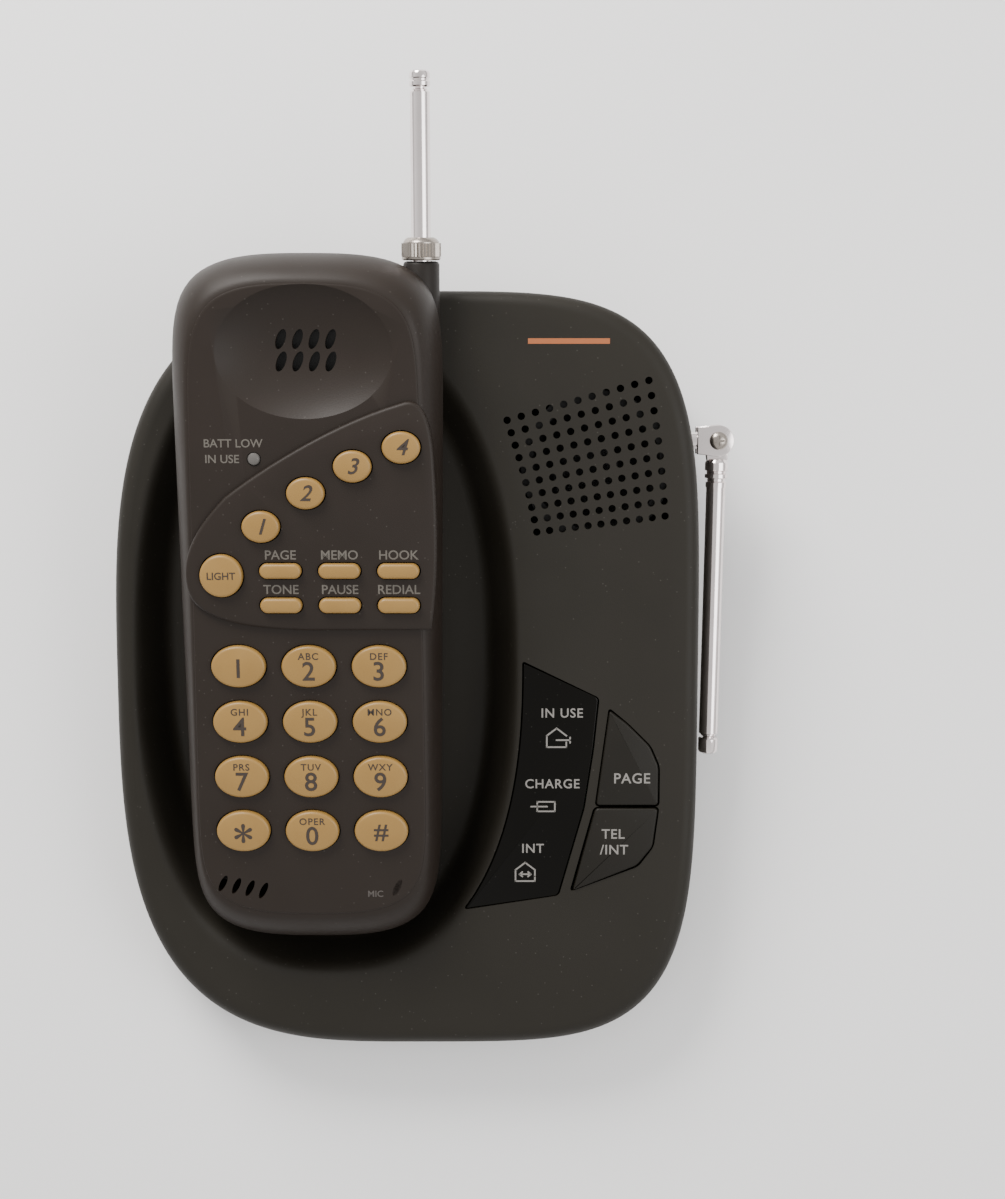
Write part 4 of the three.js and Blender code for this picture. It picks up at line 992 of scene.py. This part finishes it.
collar_bore = disc_tool(0, 0, 2.75, 80, 99, 48)
collar_parts = [
    turned([(0, 88.1), (4.7, 88.1), (4.9, 88.4), (4.9, 88.9), (4.5, 89.1), (0, 89.1)], 64),
    knurled(5.0, 89.0, 92.3, 34),
    turned([(0, 92.2), (4.5, 92.2), (4.5, 92.6), (4.1, 93.2), (3.4, 93.7), (0, 93.7)], 64),
]
collar = [
    worked(
        mesh_of(along_y(part, AERIAL_X, AERIAL_Z), "part", HANDSET),
        [mesh_of(along_y(collar_bore.copy(), AERIAL_X, AERIAL_Z), "tool", HANDSET)],
    )
    for part in collar_parts
]
collar_bore.free()
collar_bm = bmesh.new()
for part in collar:
    collar_bm.from_mesh(part)
collar_mesh = bpy.data.meshes.new("collar")
collar_bm.to_mesh(collar_mesh)
collar_bm.free()
piece(collar_mesh, "aerial_collar_ring", "handset", NICKEL, ["aerial_collar"])
HANDSET_RODS = (
    ("handset_aerial_outer", tube(2.5, 2.1, 77.7, 129.3)),
    ("handset_aerial_middle", tube(1.95, 1.55, 78.9, 129.8)),
    ("handset_aerial_inner", turned([
        (0, 80.1), (1.4, 80.1), (1.4, 130.2), (2.2, 130.2), (2.6, 130.6), (2.6, 131.5), (2.35, 131.8),
        (2.35, 132.2), (2.6, 132.5), (2.6, 133.4), (2.3, 134.0), (1.6, 134.3), (0, 134.3),
    ], 56)),
)
for node, shape in HANDSET_RODS:
    rod = mesh_of(along_y(shape, AERIAL_X, AERIAL_Z), node, HANDSET)
    piece(rod, node + "_tube", node, CHROME, [node])

# ---- Handset keys -----------------------------------------------------------------------------
# Twenty-three amber silicone-topped keys, each a flat-topped pill or oval with an eased upper edge, standing a
# little out of its opening;
# the digit, memory and light keys carry their digit or name printed in dark ink.
AMBER = moulded(
    "amber key plastic", (0.250, 0.140, 0.034), (0.305, 0.178, 0.047), 0.42, 0.000010, 1800.0, specks=0.03,
    cloud_scale=120.0,
)
DARK_INK = ink("dark ink", (0.030, 0.020, 0.014))
GREY_INK = ink("warm grey ink", (0.098, 0.088, 0.074))
FAINT_INK = ink("faint grey ink", (0.065, 0.056, 0.050))
BIG, SMALL = 6.9, 2.5
LETTERS = {
    "2": "ABC", "3": "DEF", "4": "GHI", "5": "JKL", "6": "MNO", "7": "PRS", "8": "TUV", "9": "WXY", "0": "OPER",
}
for name, (shape, x, y, rx, ry, stands) in KEYS.items():
    cap = plate(shape(x, y, rx, ry, 56), stands - 3.2, stands + KEY_RISE, 0, 0.75)
    piece(mesh_of(cap, name, HANDSET), name + "_cap", name, AMBER, [name], 50)
    face = stands + KEY_RISE + LABEL_FACE
    digit = name[4:]
    prints = []
    if digit in DIGITS:
        sign = {"star": "*", "hash": "#"}.get(digit, digit)
        drop = {"star": -2.6, "hash": 0.0, "1": -0.6}.get(digit, -1.3)
        size = BIG * (1.6 if digit == "star" else 0.9 if digit == "hash" else 1.0)
        prints.append(lettering(sign, size, (x, y + drop, face), HANDSET, spread=1.0))
        if digit in LETTERS:
            prints.append(lettering(LETTERS[digit], SMALL, (x, y + 2.75, face), HANDSET, spread=1.15))
    elif "memory" in name:
        prints.append(lettering(name[-1], 5.6, (x, y, face), HANDSET, 0.3))
    elif name == "key_light":
        prints.append(lettering("LIGHT", 2.6, (x, y, face), HANDSET))
    if prints:
        printed(prints, name + "_print", name, DARK_INK)

# ---- Handset print and lamp -------------------------------------------------------------------
# The grey words printed on the handset's face and panel, and the small frosted lamp that shows
# that the handset is in use.
panel_words = []
for name in ("page", "memo", "hook", "tone", "pause", "redial"):
    shape, x, y, rx, ry, stands = KEYS["key_" + name]
    panel_words.append(lettering(name.upper(), 3.3, (x, y + 3.9, stands + LABEL_FACE), HANDSET))
panel_words.append(lettering("BATT LOW", 2.9, (-17.6, 43.9, LABEL_FACE), HANDSET))
panel_words.append(lettering("IN USE", 2.9, (-20.4, 40.0, LABEL_FACE), HANDSET))
printed(panel_words, "handset_print", "handset", GREY_INK)
printed(
    [lettering("MIC", 2.4, (16.0, -74.0, LABEL_FACE), HANDSET)], "microphone_print", "handset",
    FAINT_INK,
)
FROSTED = moulded("frosted lamp", (0.085, 0.080, 0.074), (0.11, 0.104, 0.097), 0.3, 0.000004, specks=0.0)
lamp = turned([(0, -4), (1.55, -4), (1.55, 0.15), (1.3, 0.5), (0.8, 0.68), (0, 0.75)], 40)
bmesh.ops.translate(lamp, verts=lamp.verts, vec=(-12.5, 40.1, 0))
piece(mesh_of(lamp, "lamp", HANDSET), "handset_in_use_lamp", "handset", FROSTED, ["handset_lamp"])

# ---- Base aerial ------------------------------------------------------------------------------
# A chromed bracket that turns in the casing's side wall on a flanged stub, a cross-head pivot
# screw, and a second telescopic aerial that folds down along the side.
HINGE = Matrix.Translation(
    Vector((middle_x, middle_y, 0)) + SWIVEL * MM
) @ Matrix.Rotation(SLOPE, 4, "X") @ SHRINK
ROD = HINGE @ Matrix.Rotation(math.radians(-0.9), 4, "Z")


def tongue(radius, half, reach_to, low, high, toward="x"):
    """A flat ear with one round end about the pivot; its screw hole is cut where it is used."""
    points = []
    for i in range(25):
        t = -math.pi / 2 + math.pi * i / 24
        points.append((radius * math.cos(t), radius * math.sin(t)))
    points += [(reach_to, half), (reach_to, -half)]
    if toward == "y":
        points = [(-y, x) for x, y in points]
    return plate(points, low, high, 0, 0.25)


ear_parts = [tongue(4.2, 3.6, -5.6, 1.5, 3.0), tongue(4.2, 3.6, -5.6, -3.0, -1.5)]
block = bmesh.new()
bmesh.ops.create_cube(block, size=1.0)
bmesh.ops.scale(block, verts=block.verts, vec=(1.5, 7.2, 6.0))
bmesh.ops.translate(block, verts=block.verts, vec=(-4.85, 0, 0))
bmesh.ops.bevel(
    block, geom=block.edges[:], offset=0.3, offset_type="OFFSET", segments=2, profile=0.5, affect="EDGES",
    material=-1,
)
stub = turned([(0, -13.4), (2.25, -13.4), (2.25, -13.0), (3.4, -13.0), (3.4, -11.4), (2.25, -11.4), (2.25, -5.3),
               (0, -5.3)], 48)
bmesh.ops.rotate(stub, verts=stub.verts, matrix=Matrix.Rotation(math.pi / 2, 3, "Y"))
bracket = mesh_of(joined(ear_parts + [block, stub]), "bracket", HINGE)
bracket = worked(bracket, [mesh_of(disc_tool(0, 0, 1.75, -8, 8, 32), "tool", HINGE)])
piece(bracket, "aerial_bracket_fork", "aerial_bracket", CHROME, ["aerial_bracket"])
screw = turned([
    (0, -3.8), (2.2, -3.8), (2.2, -3.1), (1.6, -3.1), (1.6, 3.1), (2.4, 3.1), (2.4, 3.6), (2.0, 4.1),
    (1.2, 4.45), (0, 4.6),
], 40)
cross = [box_tool(-1.4, 1.4, -0.28, 0.28, 3.9, 6, HINGE), box_tool(-0.28, 0.28, -1.4, 1.4, 3.9, 6, HINGE)]
piece(
    worked(mesh_of(screw, "screw", HINGE), cross), "aerial_screw", "aerial_bracket", NICKEL,
    ["aerial_pivot_screw"],
)
knob = turned([
    (0, -12.5), (2.8, -12.5), (2.8, -11.2), (2.4, -10.9), (2.4, -10.3), (3.1, -10.0), (3.1, -9.0), (2.6, -8.7),
    (2.6, -8.3), (3.1, -8.0), (3.1, -5.9), (2.5, -5.0), (0, -5.0),
], 56)
blade = worked(
    mesh_of(tongue(3.5, 2.5, -7.0, -1.2, 1.2, "y"), "blade", ROD),
    [mesh_of(disc_tool(0, 0, 1.75, -5, 5, 32), "tool", ROD)],
)
rod_parts = [
    mesh_of(along_y(knob), "knob", ROD), mesh_of(along_y(tube(2.6, 2.15, -80, -12.2)), "tube", ROD), blade,
]
rod_bm = bmesh.new()
for part in rod_parts:
    rod_bm.from_mesh(part)
rod_mesh = bpy.data.meshes.new("rod")
rod_bm.to_mesh(rod_mesh)
rod_bm.free()
piece(rod_mesh, "base_aerial_outer_tube", "base_aerial_outer", CHROME, ["base_aerial_outer"])
piece(
    mesh_of(along_y(tube(2.0, 1.55, -80.6, -14)), "middle", ROD), "base_aerial_middle_tube",
    "base_aerial_middle", CHROME, ["base_aerial_middle"],
)
tip = turned([
    (0, -85.4), (1.7, -85.4), (2.4, -85.0), (2.7, -84.4), (2.7, -81.3), (2.3, -80.9), (1.4, -80.9), (1.4, -15),
    (0, -15),
], 56)
piece(
    mesh_of(along_y(tip), "tip", ROD), "base_aerial_inner_rod", "base_aerial_inner", CHROME,
    ["base_aerial_inner"],
)

# ---- Feet -------------------------------------------------------------------------------------
# Four black rubber pads stuck under the base, each slightly dished.
RUBBER = moulded("black rubber", (0.016, 0.016, 0.015), (0.022, 0.022, 0.021), 0.75, 0.00003, 1500.0)
for node, x, y in (
    ("foot_front_left", -33.5, -87.7), ("foot_front_right", 45.5, -88.7), ("foot_rear_left", -38.5, 87.7),
    ("foot_rear_right", 45.5, 88.7),
):
    pad = turned([
        (0, 0.4), (4.4, 0.3), (4.8, 0.0), (5.9, 0.0), (6.4, 0.3), (6.5, 0.8), (6.5, 1.95), (0, 1.95),
    ], 56)
    bmesh.ops.translate(pad, verts=pad.verts, vec=(x, y, 0))
    piece(mesh_of(pad, node, BASE), node + "_pad", "base", RUBBER, [node])

# ---- Inner parts ------------------------------------------------------------------------------
# What lies inside the casings and shows through an opening or when the door is off: circuit boards,
# loudspeakers, the key mat, the cells, the charging contacts, the sockets and the casing screws.
FINISHES = {
    "board_laminate": moulded("board laminate", (0.018, 0.085, 0.030), (0.026, 0.115, 0.040), 0.45, 0.00001),
    "black_plastic": moulded("black plastic", (0.010, 0.010, 0.009), (0.016, 0.015, 0.014), 0.5),
    "mat_rubber": moulded("key mat rubber", (0.05, 0.045, 0.04), (0.065, 0.058, 0.05), 0.7),
    "cell_sleeve": moulded("cell sleeve", (0.035, 0.11, 0.24), (0.045, 0.14, 0.29), 0.3, 0.000005),
    "contact_brass": bright_metal("contact brass", (0.50, 0.36, 0.13), (0.66, 0.50, 0.20), 0.3),
    "plain_steel": bright_metal("zinc plated steel", (0.36, 0.36, 0.34), (0.48, 0.47, 0.44), 0.35),
}
INNER = {
    "board_laminate": ("handset_circuit_board", "base_circuit_board"),
    "black_plastic": ("base_loudspeaker", "ear_speaker", "microphone", "line_socket", "power_inlet"),
    "mat_rubber": ("keypad_mat",),
    "cell_sleeve": ("battery_pack",),
    "contact_brass": (
        "handset_contact_left", "handset_contact_right", "charge_spring_left", "charge_spring_right",
    ),
    "plain_steel": ("base_screw_left", "base_screw_right"),
}
for slot, names in INNER.items():
    for name in names:
        inner = bpy.data.objects[name]
        inner.data.materials.clear()
        inner.data.materials.append(FINISHES[slot])
